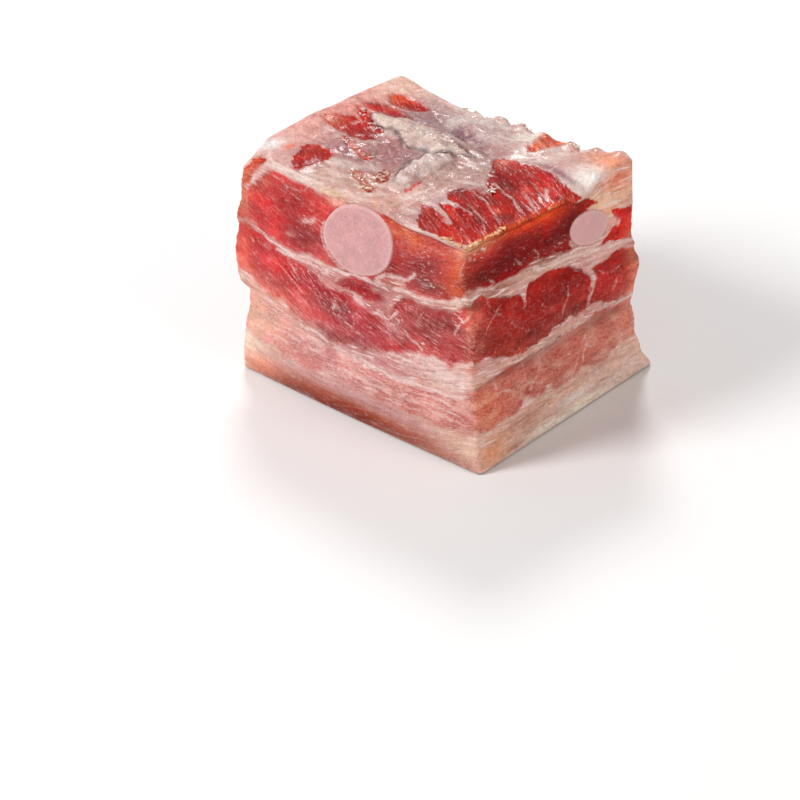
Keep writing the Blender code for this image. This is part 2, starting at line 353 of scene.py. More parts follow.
# Heights of the lean's edges: along the front cut, then along the right cut from the same corner
leanLayers = {
    "pink": {
        "lowFront": (0, 7.5, 10, 6.4, 20, 6.2, 30, 5.6, 45, 5.4, 58, 6, 61, 8.3),
        "lowSide": (0, 8.3, 3, 7.2, 6, 7.6, 9, 7.6, 11, 8.2, 12.5, 9.8, 14, 8.5, 17, 8.2, 18.5, 9, 19.5,
            7.8, 25, 7.7, 27.5, 8.9, 30, 7.4, 33, 6.9, 36, 7.8, 37.5, 9.6, 39, 8.5, 44.4, 8.2),
        "highFront": (0, 16, 8, 14.4, 16, 13, 24, 12.4, 34, 11.4, 44, 12.1, 56, 13.4, 61, 17),
        "highSide": (0, 17, 5, 17.3, 10, 17.8, 25, 17.8, 30, 18.2, 35, 18.1, 44.4, 17),
    },
    "middle": {
        "lowFront": (0, 19.8, 3, 19.6, 6, 18.6, 10, 17, 14, 15.6, 19, 14.4, 25, 14, 31, 14.2, 36, 15.4, 40,
            17, 43, 18.2, 45, 19, 47, 19.4, 50, 19.5, 55, 19.7, 58, 21.4, 61, 22.2),
        "lowSide": (0, 22.2, 3, 21.8, 6, 21, 9, 20, 12, 19.6, 15, 19.5, 18, 19.8, 21, 20.4, 29, 20.6, 33,
            20, 36, 19, 44.4, 18.5),
        "highFront": (0, 30.4, 5, 29.8, 8, 28.8, 10, 27.2, 14, 27, 18, 26.4, 22, 25.4, 27, 24.8, 33, 24.2,
            37, 23.8, 39.5, 25.4, 41, 28, 44, 29.8, 48, 30.1, 52, 30.3, 56, 31.2, 61, 34.8),
        "highSide": (0, 34.8, 2.5, 35.2, 5, 33.8, 8, 33, 12, 31.4, 13.5, 29.4, 15, 32.3, 20, 32.7, 25, 31.8,
            28, 30, 30, 28.2, 34, 28.5, 38, 29.3, 44.4, 28.6),
    },
    "upper": {
        "lowFront": (0, 31, 4, 31, 8, 30.4, 12, 29.6, 17, 29.9, 23, 29.6, 28, 29.9, 34, 30.4, 37, 32, 40,
            33.4, 43, 33.2, 45, 31.8, 50, 31.5, 54, 32.4, 58, 34.6, 61, 37.6),
        "lowSide": (0, 37.6, 5, 36.2, 8, 35.5, 12, 35.7, 15, 36.6, 17, 36.8, 21, 36.2, 25, 34.7, 30, 33.9,
            35, 32.4, 44.4, 30.8),
        "highFront": (0, 45.2, 7, 45, 14, 44.9, 23, 44.4, 27, 45.2, 40, 46.2, 61, 47),
        "highSide": (0, 47, 27, 46.8, 30, 44.6, 33.8, 42.3, 35.6, 39.6, 38, 39.1, 44.4, 37.4),
    },
}

# Whitish strands on the cuts: half width, then the pairs (along, height) that the strand runs through
strandLines = {
    "front": (
        (0.24, 5, 30.6, 9, 29.3, 12, 28.7, 16, 28.9, 22, 29.2, 30, 29.5, 35, 30.1, 38, 30.9, 44, 31.2, 48,
        31.2, 52, 31.7, 56, 33, 61, 36), (0.22, 9, 27.4, 12, 28, 17, 27.9, 22, 28.2, 26, 27.4, 24, 25.8), (0,
        12, 27, 16, 22.8, 22, 20.2, 30, 17.8, 36, 15.8), (-0.06, 14, 26.4, 20, 22.6, 27, 19.8), (-0.06, 20,
        24.6, 27, 22, 35, 18.4), (-0.08, 4, 28, 9, 25, 16, 20.6), (-0.08, 3, 42, 8, 41, 13, 39.6), (-0.08,
        11, 44, 13, 41.6, 17, 40.6), (-0.08, 41, 29, 47, 27, 54, 27.6), (0, 57.6, 33, 59.4, 34), (0.24, 30,
        24.8, 35, 23.8, 39, 23.8, 41, 25.6), (0.22, 42, 15.6, 47, 18.8, 52, 19.3, 57, 20, 61, 22), (0.24, 16,
        14.2, 24, 12.8, 34, 11.6, 44, 12.2, 52, 12.8, 57, 13.6, 60, 15.2), (0.2, 36, 31, 39, 33.1, 44, 33.3,
        46.5, 35.6), (-0.02, 15, 35.4, 17, 36.2, 20, 38.4), (0.08, 43, 22.6, 46, 21, 48.4, 19.6), (0.12,
        56.6, 26.6, 58.2, 29.4, 60.8, 32), (0, 57.6, 37.4, 59.4, 41, 61, 44), (0.09, 8, 10.4, 18, 9.8, 30,
        9.4, 40, 8.6, 52, 9.6, 60, 9.8), (0.09, 22, 8, 34, 7.6, 44, 8.4, 58, 8.2), (0.09, 26, 10.6, 38, 10.2,
        50, 11, 60, 11.6), (0, 2, 9.4, 10, 8.6, 20, 7.2, 32, 6.4, 46, 6.6), (0.02, 4, 12.2, 12, 11.4, 22,
        11.2, 34, 10.9), (-0.05, 1, 7.4, 9, 6.2, 18, 5.4), (0.06, 10, 13, 20, 12, 30, 11.6, 40, 11.4, 50,
        12.2, 58, 12.8), (-0.02, 34, 8.8, 44, 9.5, 54, 10.6, 60.5, 10.9), (0, 38, 28.6, 39.4, 26, 38.6, 22,
        40, 19, 43, 16.6), (0.02, 36, 21.4, 40, 20.6, 44, 18.4), (-0.04, 30, 25, 34, 22.4, 39, 19.4), (0, 19,
        27.6, 22, 25.8, 26, 25.2, 32, 25.6), (-0.06, 8, 43.8, 13, 42.6, 17, 43.4, 19.6, 46), (-0.08, 0.6,
        30.8, 1.4, 36, 1.6, 42, 3, 45)),
    "side": (
        (-0.02, 4.2, 34.4, 4.8, 32, 6.6, 30.2, 9.6, 28.4), (0.1, 13.3, 31, 13.7, 28.4), (-0.08, 3.2, 26, 4.2,
        28, 5.8, 29.4, 8, 31.6), (-0.08, 9.6, 28.4, 10, 26.6, 11.4, 24.8, 13.8, 23, 16, 22.2), (-0.1, 15, 29,
        17.2, 28, 18.4, 26, 20.6, 24.8), (-0.08, 26.4, 32.6, 28, 30, 28.8, 27.6, 28.4, 25.6), (-0.05, 33.4,
        27, 35, 25.8, 37.2, 25.3, 39.6, 25.6), (-0.06, 38.6, 24.6, 38.2, 22.6, 36.8, 21), (0, 4.6, 17.4, 5.6,
        13.6, 3.6, 9.8), (0, 5.6, 13.6, 10, 12, 12.5, 8.6), (0, 17.6, 17.6, 16, 13, 14.4, 10.8, 12.5, 8.6),
        (-0.02, 16, 13, 22, 12.7, 26.8, 12.2, 28.5, 15), (0, 26.8, 12.2, 25.6, 9.4, 24.4, 7.6), (-0.02, 29.5,
        12, 36, 12, 38.6, 10, 36.6, 8.4), (-0.04, 25, 27.4, 24.8, 25.4, 23.4, 23.4, 22.2, 20.8), (0, 4, 17.4,
        6, 14, 11, 11.8, 13, 9.4), (-0.05, 12, 17.5, 13, 13, 17, 10.4), (0.04, 28.4, 15, 29, 12.6, 27, 8.6),
        (-0.08, 29, 12.4, 36, 11.2, 42, 11.6), (-0.04, 3.6, 38.8, 6.5, 36.8), (0, 12, 39, 13.4, 37), (-0.02,
        17, 38.8, 18.2, 37.2), (0.12, 2, 36.4, 9, 35.6, 18, 34.6, 26, 33.4, 36, 31.4, 43, 30.4), (0.09, 14,
        35.6, 24, 34.4, 33, 32.6)),
    "top": (
        (0.4, 4.6, 3.6, 7, 1.4, 14, 0.7, 27, 0.5), (0.1, 30, 0.8, 45, 0.5, 60, 0.3), (0, 7, 14, 12, 13.8, 17,
        12, 22, 12.6), (-0.08, 16, 3, 20, 9, 27, 12), (-0.04, 30, 3, 36, 7, 42, 13, 44, 18), (-0.02, 0, 36,
        8, 34, 16, 34.6, 26, 36, 36, 35), (-0.06, 20, 41, 28, 39, 38, 38, 46, 36), (-0.06, 18, 24.4, 22, 21,
        27, 19.6), (-0.08, 19, 22, 23, 18.4, 27, 17), (0.22, 55, 27.6, 58, 24.6, 61.4, 21.6), (0.1, 52, 24.4,
        57, 21.4, 61.4, 19), (0, 50, 28.4, 56, 25.6, 61.6, 22.8), (-0.05, 43, 29, 50, 26.6, 55, 24), (-0.03,
        48, 14, 54, 11.4, 59, 7.4), (-0.04, 46, 31, 53, 29.6, 60, 26.6), (0.1, 44, 18.4, 50, 16.4, 56, 13.4,
        61, 9.6), (0.09, 46, 22.8, 52, 20.8, 58, 17.6), (0.22, 43, 9, 48, 7.8, 52, 5.6), (0.14, 38.6, 1,
        38.4, 8, 38.8, 15), (0.14, 40.6, 1, 40.4, 8, 40.6, 16), (0.14, 42, 1, 42.4, 5)),
}

# The patterns are drawn on flat cuts as the slanted view shows them, so what swells out of a flat cut slides
# this much along and up it for each millimetre
cutSlide = {"front": (1.02, 0.88), "side": (0.98, -0.87), "top": (-1.15, 1.13)}
# and the uneven corners bow them: at mid length along, at mid height up, and at the rind up
cutBow = {"front": (-0.92, -0.99, -0.64), "side": (-0.60, -0.49, -0.42)}

# Outlines of the lean that shows between the top's fat and membrane, then of lean and fat inside other layers
topLean = {
    "striated": (59.5, 1.2, 54, 0.9, 48, 1.2, 45.4, 3, 44.2, 5, 42.2, 7.8, 45, 7.6, 49, 6.2, 52, 5.2, 48,
        7.6, 45, 9, 44, 10.4, 46.5, 11.2, 50, 10.7, 52, 10.9, 48, 12, 44.4, 12.5, 42.2, 14.2, 42, 15.8, 43,
        17.6, 45.4, 18.6, 48, 18.6, 48.8, 19.6, 46.6, 20.6, 45.2, 21.8, 44.2, 23.4, 43, 25, 41.6, 26.6, 40,
        28.2, 39, 30.6, 40.6, 32, 45, 33.4, 50, 33, 55, 31.4, 59, 30.2, 62.5, 29.4, 62.5, 3),
    "oval": (7.4, 9.6, 8, 11.4, 9.6, 12.7, 11.6, 13.1, 13.4, 12.4, 14.7, 10.8, 15.2, 8.8, 15.1, 6.4, 14.9,
        4, 14.3, 2.2, 13, 1.6, 10.8, 3, 9.2, 6.2, 8.2, 8.4),
    "backRed": (4.5, 37, 6, 38.8, 9, 39.2, 13, 38.6, 14.5, 37.8, 12.5, 36.2, 10, 35.2, 7, 35.2),
    "wedge": (3, 31, 4.5, 32.8, 7, 33.6, 11, 32.8, 16, 31.8, 12, 31.4, 8, 30.9, 5, 30.2),
    "strip": (3.4, 28.8, 6, 28.6, 9, 26.6, 12, 26.2, 14.6, 24.3, 13, 23.4, 9.5, 24.4, 6, 26.8),
    "leftRed": (0.8, 21.6, 2, 24, 5, 25.4, 8.5, 24.4, 12, 23, 15.5, 21.6, 14, 20.4, 9, 19.8, 4, 20.2),
    "grains": (9.5, 18.6, 13, 18.2, 17, 16.6, 20.8, 15.2, 21, 14.2, 19, 13.8, 15, 15.4, 11, 17),
    "brown": (26.5, 13.2, 28.5, 13.4, 30.5, 11, 30, 8.4, 28.6, 8.2, 28, 10.4),
    "frontGrains": (22, 9.6, 25, 9, 27.5, 7.4, 29.5, 7.2, 32, 6, 31.5, 4.2, 29, 4.4, 26, 6.4, 23, 8),
    "slit": (34.8, 14.6, 35.6, 14.4, 36.6, 10, 36.6, 8, 36.1, 8.2, 35.5, 10.5),
    "backWedge": (38.6, 44.4, 41, 45, 45, 44.4, 44.6, 41, 42.8, 38, 41.4, 36.4, 40, 38.2, 39.4, 41.2),
    "corner": (3.8, 1.9, 5.9, 1.2, 7.2, -1.6, 8.6, -5, 9, -8, 7, -7.5, 4.6, -3.8, 3.4, -0.2),
}
cutLean = {
    "front": (
        (25, 27, 28, 28.4, 31, 29.3, 35, 29.5, 38, 28.8, 39, 27.4, 36.5, 26.4, 33, 25.6, 29, 25.4, 26, 26),
        (-0.8, 41, 1.2, 39.6, 2.4, 41.2, 3.2, 42.8, 5, 44.8, 6, 47, 2, 47, -1, 44.5),
    ),
}
cutFat = {
    "front": (
        (6, 47, 4.8, 44.8, 3, 42.8, 2.2, 41.2, 0.8, 38.8, 1.6, 38.4, 3, 39.8, 4.6, 42, 6.6, 44, 9, 45, 10,
         47),
    ),
    "side": (
        (35.6, 38.6, 37.4, 38.4, 39.2, 37, 40.6, 36.2, 39.6, 34.9, 37.6, 34.4, 35.6, 34.2),
        (29, 30.6, 31.4, 28.8, 32.6, 26.2, 32.4, 24.4, 31.4, 23, 30.6, 21.2, 29.6, 20.4, 29.6, 21.6, 30.7,
         24.2, 30.8, 26.4, 29.8, 28),
    ),
}


# Sheets of torn membrane and fat on the top: outline, lift of the torn edge, the side where it is held (u, v,
# where the lift ends) and tone
topSheets = {
    "flap": {
        "outline": (7.6, 28.4, 9, 27.2, 12, 26.6, 15, 27, 17.4, 26.4, 20, 24.9, 22.6, 23.1, 25, 23.2, 27,
            24.6, 28.8, 26.2, 31, 27, 33, 27.4, 35.6, 27.9, 33, 28.7, 29, 29.6, 27, 30.8, 22, 31.8, 17,
            31.8, 12, 31, 9, 30),
        "lift": 0.45, "held": (0, 1, 32.5), "tone": (238, 214, 198),
    },
    "tongue": {
        "outline": (29.2, 25.2, 31, 26.4, 33, 25.6, 34, 23, 34, 20, 34.2, 17, 35, 14.5, 34.6, 12.2, 33,
            11.2, 31.4, 11.8, 30.3, 13.6, 29.3, 16.2, 28.8, 19, 28.8, 22),
        "lift": 0.5, "held": (1, 0, 35.5), "tone": (236, 214, 208),
    },
}

# Where wet flesh glints, for each cut: along, up, half length, half width, share; these places get a glossier
# coat and painted pale glint specks
gleamPatches = {
    "front": (
        (35, 11.6, 7, 0.9, 1), (16, 11.2, 2.5, 0.6, 0.8), (25, 8, 4, 0.5, 0.8), (47.5, 21.3, 1.8, 1.6, 0.8),
        (26, 20.5, 9, 3, 0.6), (18.5, 37.2, 2, 1.2, 1), (50, 35, 4, 1.2, 0.7), (13, 27.8, 4, 0.8, 0.8),
        (50, 40, 8, 4, 0.4), (5, 24, 5, 6, 0.4), (58, 30, 2, 4, 0.7), (40, 24, 4, 3, 0.6)),
    "side": (
        (24, 3.8, 6, 1.6, 1), (23, 17.8, 9, 0.6, 1), (18, 8.3, 3, 0.7, 0.9), (30, 5.6, 5, 0.8, 0.9),
        (37, 17.8, 3, 0.5, 0.8), (20, 37.6, 12, 1, 0.4), (4, 44, 4, 2, 0.7), (41, 2.5, 3, 2, 0.7)),
    "top": (
        (30, 28.4, 7, 2, 0.5), (12, 24.5, 4, 1.4, 0.8), (17, 15.5, 5, 1.6, 0.8), (27, 7, 6, 3, 0.6),
        (44, 22.5, 3, 3, 0.5), (57, 24.5, 4, 3, 0.6), (32, 21, 2.5, 4, 0.7), (46, 8, 4, 1.6, 0.6),
        (47, 36, 4, 3, 0.2), (22, 38, 16, 4, 0.3), (45, 30, 6, 3, 0.5)),
}


cutReach = 1.6   # how deep in the meat a cut's own pattern goes, in millimetres
sheetEase = 6    # the length over which a sheet comes free of its held side


def nearCut(distance):
    # 1 on a cut, eased down to 0 at its reach inside it
    return eased(1.0 - distance / cutReach)


def leanField(x, y, z):
    # how far inside the nearest layer of lean a point lies
    best = np.full(x.shape, -9.0)
    for layer in leanLayers.values():
        low, high = (lineThrough(layer[edge + "Front"], x) + lineThrough(layer[edge + "Side"], y)
                     - layer[edge + "Side"][1] for edge in ("low", "high"))
        best = np.maximum(best, np.minimum(z - low, high - z))
    return best


def outlineEdge(u, v, outline):
    # how far inside a closed outline of straight runs (u, v) lies: the distance to it, negative outside
    best = np.full(u.shape, 1e3)
    inside = np.zeros(u.shape, bool)
    outline = pairs(outline)
    for start, end in zip(outline, np.roll(outline, -1, axis=0)):
        best = np.minimum(best, runDistance(u, v, start, end))
        (ua, va), (ub, vb) = start, end
        inside ^= ((va > v) != (vb > v)) & (u < ua + (ub - ua) * (v - va) / (vb - va + 1e-9))
    return np.where(inside, best, -best)


def topLeanField(x, y):
    # how far inside the nearest outline of the top's lean (x, y) lies
    return np.max([outlineEdge(x, y, outline) for outline in topLean.values()], axis=0)


def sheetsAt(u, v):
    # for each torn sheet: itself, how far inside it (u, v) lies, and how free of its held side
    for sheet in topSheets.values():
        heldU, heldV, end = sheet["held"]
        yield sheet, outlineEdge(u, v, sheet["outline"]), eased((end - u * heldU - v * heldV) / sheetEase)


# Whitish specks in the front cut's lean: (x, z, half length, half width, turn)
frontSpecks = ((17.4, 36.8, 0.9, 0.35, 20), (19.6, 38.0, 0.8, 0.35, 35), (13.3, 32.5, 0.5, 0.25, 10),
               (24.6, 21.6, 0.6, 0.35, -30), (6.5, 27.5, 0.4, 0.2, 0), (49.5, 34.6, 0.7, 0.2, 15))

# Colours as a screen shows them, from 0 to 255
meatColours = {
    "leanPink": (206, 112, 102),
    "leanMiddle": (196, 54, 54),
    "leanUpper": (200, 54, 50),
    "leanSide": (180, 22, 12),
    "leanTop": (198, 24, 4),
    "blush": (182, 70, 66),
    "fatLow": (226, 180, 162),
    "fatSeam": (222, 166, 158),
    "fatTop": (216, 166, 158),
    "strand": (248, 222, 216),
    "rind": (196, 130, 90),
    "rindDark": (132, 70, 46),
}
# Where the lean's colour departs from its layer's, for each cut: along, up, half length, half width, turn in
# degrees, red, green, blue, share
leanPatches = (
    ("front", (
        # the narrow patches at along 0.4 and 0.6 are painted light: the orange glow where light comes through
        # the left edge
        (6, 34, 7, 5, 0, 228, 24, 24, 0.8), (18, 34, 8, 3.5, 0, 140, 14, 22, 0.85), (15, 39.6, 8, 3.6, 0,
        168, 16, 18, 0.85), (50, 39.8, 9, 4.8, 10, 140, 8, 16, 0.85), (53, 35, 5, 1.4, 10, 134, 10, 10, 0.9),
        (40.4, 35.4, 2, 1.6, 20, 150, 10, 14, 0.9), (26, 44.6, 3, 1.2, 0, 246, 176, 150, 0.9), (40.6, 22.6,
        3, 2, 0, 226, 150, 146, 0.7), (45, 44, 7, 2.6, 0, 222, 88, 50, 0.8), (58.5, 39, 3.4, 6.5, -16, 228,
        84, 44, 0.9), (60, 45, 2.4, 1.8, 0, 250, 166, 136, 0.9), (0.4, 38, 1.6, 6, 0, 240, 110, 74, 0.8),
        (0.6, 24, 2.4, 5, 0, 240, 96, 76, 0.8), (9, 24, 8, 4, -10, 220, 34, 36, 0.7), (28, 20, 15, 4.5, -20,
        164, 10, 32, 0.85), (52, 25, 9, 4.5, 0, 176, 70, 66, 0.8), (32, 27.4, 7, 1.8, 0, 150, 8, 20, 0.9),
        (3, 11, 10, 6, 0, 250, 200, 172, 0.97), (24, 9.5, 15, 4.5, 0, 222, 148, 144, 0.85), (50, 9, 12, 3.5,
        0, 220, 134, 124, 0.8), (3, 44, 3.5, 4, 30, 232, 80, 40, 0.9))),
    ("side", (
        # painted shade: these two near-black reds are the shadow under the top's overhanging rim
        (12, 39.8, 15, 3.8, 0, 150, 0, 0, 0.94), (9, 39.2, 6, 2, 0, 110, 0, 0, 0.5))),
    ("front", (
        # painted highlight: light on the rounded edge with the right cut
        (60.8, 25, 1.4, 6, 0, 238, 128, 108, 0.8),)),
    ("side", (
        # painted shade: the near-black red at (25, 40) is the shadow under the top's overhanging rim; painted
        # highlight: the salmon strip at along 0.5, up 28 is light on the rounded edge with the front cut
        (20, 46, 21, 2.2, 0, 252, 66, 4, 0.95), (30, 42.6, 5, 2, -20, 196, 30, 14, 0.8), (25, 40, 6, 3, 0,
        118, 0, 0, 0.8), (41.5, 35, 4, 4, 0, 222, 16, 0, 0.95), (0.5, 28, 3, 9, 0, 240, 118, 100, 0.85),
        (43.5, 25, 2.6, 6, 0, 255, 150, 116, 0.95), (3, 46, 5, 1.2, 0, 255, 184, 120, 0.95), (41, 13, 5, 6,
        0, 252, 166, 142, 0.9), (8, 26, 7, 6, 0, 176, 34, 20, 0.7), (20, 27, 10, 6, 0, 146, 10, 4, 0.8), (20,
        21, 12, 1.8, 0, 186, 66, 50, 0.5), (38, 24, 6, 5, 0, 192, 22, 14, 0.8), (3, 12, 6, 6, 0, 240, 128,
        94, 0.85), (25, 12.5, 17, 5, 0, 216, 120, 98, 0.85), (22, 17, 9, 0.8, 0, 250, 176, 160, 0.7))),
    ("top", (
        (61, 15, 1.3, 16, 0, 244, 84, 40, 0.75), (7.6, 22.8, 5, 2.4, 0, 172, 0, 0, 0.95), (2, 22.6, 3, 3, 0,
        238, 130, 108, 0.7), (7, 37.4, 4, 3, 0, 232, 84, 44, 0.8), (12, 37, 3.4, 2.2, 0, 176, 14, 10, 0.85),
        (8.6, 36.2, 2.6, 1.6, 0, 190, 20, 0, 0.9), (57.4, 21.8, 3, 1, -28, 150, 20, 16, 0.8), (12, 32, 4,
        1.6, 0, 150, 12, 18, 0.85), (12.5, 22, 4, 2, -10, 170, 12, 8, 0.85), (9, 9.5, 3, 3, 0, 206, 44, 28,
        0.8), (13, 7, 3, 5, 0, 170, 14, 10, 0.8), (42, 41, 5, 5, 0, 244, 112, 78, 0.9), (40.6, 30.4, 3, 3, 0,
        226, 104, 88, 0.8), (15.5, 16.6, 6, 2, -20, 214, 126, 114, 0.85), (27, 7, 6, 3, -15, 212, 142, 120,
        0.85), (28.6, 11, 3, 3, 0, 150, 70, 52, 0.8), (36, 11, 2.4, 5, 0, 214, 110, 100, 0.85), (52, 33, 9,
        1.6, -14, 150, 34, 50, 0.8), (46, 24.6, 5, 1.6, -28, 120, 0, 8, 0.8), (45, 16, 4, 1.8, -20, 136, 2,
        8, 0.7), (52, 11, 6, 1.2, -28, 150, 8, 12, 0.6), (54, 20, 7, 1.2, -28, 150, 8, 12, 0.6))),
)
# The same for the fat and membrane
fatPatches = (
    ("front", (
        # the patch at along 60.8, up 24 is a painted highlight on the rounded edge with the right cut; the
        # one at along 1.2, up 38.8 is painted glow of light through the left edge
        (30, 4.2, 34, 2, 0, 206, 156, 158, 0.8), (29, 1.3, 31, 2.1, 0, 160, 56, 8, 1), (24, 0, 30, 1.2, 0,
        112, 34, 16, 0.9), (60.8, 24, 1.6, 6, 0, 240, 150, 112, 0.8), (60.6, 41, 1.6, 4, 0, 226, 104, 56,
        0.8), (3, 2, 5, 2.4, 0, 244, 92, 44, 0.85), (58.5, 4.4, 7, 2.6, 0, 236, 204, 178, 0.9), (1, 9, 6, 8,
        0, 255, 238, 212, 0.95), (30, 14, 20, 2.2, -2, 210, 148, 146, 0.9), (54, 16.8, 9, 2.6, 0, 242, 212,
        204, 0.95), (8, 17, 8, 3, -10, 240, 176, 158, 0.9), (17, 27.6, 9, 2.2, -4, 216, 150, 148, 0.8), (36,
        27, 6, 4, 0, 196, 120, 120, 0.8), (27, 30, 6, 1.2, 0, 180, 92, 88, 0.9), (37, 32.2, 3.8, 1.8, 0, 156,
        50, 42, 0.92), (31, 25.4, 9, 1.6, -8, 184, 96, 98, 0.85), (35, 29.8, 5, 1, 0, 164, 66, 62, 0.9),
        (1.2, 38.8, 1.8, 3, 0, 252, 178, 166, 0.8), (52.5, 33.2, 5, 0.9, 12, 170, 74, 64, 0.8), (60, 45, 2.4,
        1.6, 0, 250, 176, 146, 0.9), (40, 32, 5, 1.2, 0, 200, 104, 92, 0.8), (59, 33.5, 3, 3, 0, 246, 214,
        190, 0.8), (15, 46.2, 10, 1, 0, 250, 234, 224, 0.95), (4, 42.4, 5, 2.4, 45, 246, 200, 192, 0.9), (26,
        46, 4, 1, 0, 244, 216, 172, 0.8))),
    ("side", (
        # the near-white patch at along 24.5, up 3.3 is a painted highlight on the wet fat; the one at along
        # 0.5, up 12 is a painted highlight on the rounded edge with the front cut
        (22, 5, 24, 3.2, 0, 230, 182, 160, 0.9), (24, 0.8, 28, 1.9, 0, 255, 244, 226, 1), (36, 5, 12, 4, 0,
        246, 204, 184, 0.85), (10, 5.4, 7, 1.1, 3, 206, 152, 132, 0.8), (16, 2.6, 8, 0.9, 0, 200, 146, 122,
        0.7), (33, 6.2, 5, 1, 0, 206, 154, 142, 0.8), (33, 2.8, 4, 0.8, 0, 214, 164, 144, 0.7), (24.5, 3.3,
        4.4, 0.9, 4, 255, 242, 234, 0.95), (40, 2.4, 4, 1.6, 0, 255, 236, 226, 0.9), (16, 35, 20, 3, 0, 224,
        182, 162, 0.8), (36, 31, 8, 3, 0, 226, 172, 162, 0.8), (7, 34.9, 5, 1.2, 0, 172, 100, 90, 0.85), (19,
        36.2, 14, 1, -5, 176, 108, 98, 0.85), (8.5, 1, 4, 1, 0, 206, 140, 114, 0.85), (37.6, 39.8, 2.2, 1.4,
        0, 250, 144, 122, 0.85), (43, 19, 2.6, 1.6, 0, 244, 150, 118, 0.85), (15, 18.8, 20, 1.3, 0, 222, 172,
        154, 0.8), (38, 42, 8, 4, 0, 255, 204, 166, 1), (42, 6, 5, 6, 0, 240, 190, 168, 0.8), (3, 2.5, 4, 3,
        0, 242, 158, 112, 0.8), (41, 45, 5, 2, 0, 250, 146, 112, 0.9), (38.5, 36.2, 2.5, 2, 0, 240, 172, 160,
        0.9), (0.5, 12, 2, 7, 0, 250, 208, 184, 0.8))),
    ("front", (
        # painted highlight: light on the rounded edge with the right cut
        (60.6, 9, 1.8, 8, 0, 246, 206, 190, 0.7),)),
    ("side", (
        (3, 45.8, 5, 1.1, 0, 250, 204, 146, 0.95), (0, 41, 2, 3, 0, 226, 100, 60, 0.9))),
    ("top", (
        # the dark patch at (27.5, 22) is painted shade in the hollow along the tongue's left edge
        (2, 26, 5, 22, 0, 248, 178, 164, 0.9), (3, 42, 7, 5, 0, 255, 212, 192, 0.9), (3, 28, 4, 6, 0, 238,
        142, 128, 0.7), (24, 20, 9, 7, 0, 168, 120, 126, 0.9), (20, 29, 13, 4, 0, 206, 192, 184, 0.8), (31.5,
        17, 4, 8, 0, 198, 170, 166, 0.7), (38, 17, 4, 7, 0, 206, 166, 154, 0.8), (36, 5, 9, 5, 0, 232, 176,
        158, 0.8), (22, 5, 8, 4, 0, 208, 166, 146, 0.85), (18, 11, 5, 4, 0, 188, 148, 142, 0.8), (15, 14.6,
        6, 1.6, -15, 150, 104, 116, 0.7), (29, 39, 14, 5, 0, 222, 208, 202, 0.95), (40, 26, 6, 7, 0, 200,
        176, 166, 0.85), (16, 33.4, 7, 1.3, -4, 150, 112, 122, 0.8), (27, 34.4, 10, 2.3, -14, 136, 92, 108,
        0.95), (18, 35.4, 5, 3.4, 0, 166, 130, 138, 0.8), (58.5, 35.5, 5.5, 6, 0, 255, 248, 240, 1), (57, 43,
        7, 3.4, 0, 255, 164, 126, 0.95), (46.5, 38.2, 6, 4.2, 0, 204, 148, 140, 0.88), (27.5, 22, 1.6, 4, 0,
        124, 78, 78, 0.88), (14.6, 2.2, 2, 2, 0, 176, 90, 98, 0.9), (2, 6.4, 2, 3, 0, 255, 252, 250, 0.95),
        (13.6, 7.1, 1.8, 1.8, 0, 172, 46, 48, 0.9), (46, 18.6, 3.4, 1.4, 0, 176, 44, 40, 0.9), (27, 9.2, 3.4,
        2, 0, 180, 108, 92, 0.85), (12.6, 12.8, 2.2, 1.5, 0, 164, 72, 80, 0.85), (24.6, 24.4, 2.6, 1.2, 0,
        250, 236, 232, 0.9), (30.6, 32.6, 3.4, 1.2, -14, 132, 80, 90, 0.9), (45, 10.6, 2.4, 1, 0, 182, 86,
        78, 0.85), (29.4, 13.6, 1.6, 2.2, 0, 160, 90, 82, 0.8), (31, 29.4, 4, 0.8, -14, 140, 92, 88, 0.9),
        (7, 18.4, 3, 1.6, 0, 255, 222, 214, 0.88), (23.4, 12.2, 2, 2, 0, 240, 214, 210, 0.85), (21, 5.8, 2,
        1.4, 0, 250, 224, 214, 0.85), (53, 33.4, 8, 1, -14, 132, 74, 96, 0.85), (37, 42, 6, 3.4, 0, 255, 240,
        226, 0.85), (44, 11.5, 3, 8, 0, 206, 174, 178, 0.7), (5.4, 8.2, 1.2, 1.4, 0, 238, 110, 60, 0.9))),
)


def paint(base, patches, places):
    # base colour for each point, then each patch mixed in by share * exp(-(a^2 + b^2)) where its cut is near
    colour = base.copy()
    for cut, rows in patches:
        along, up, near = places[cut]
        for u, v, halfU, halfV, turn, *tone, amount in rows:
            a, b = turned(along, up, u, v, turn)
            mix = amount * near * np.exp(-((a / halfU) ** 2 + (b / halfV) ** 2))
            colour += mix[:, None] * (linear(tone) - colour)
    return colour


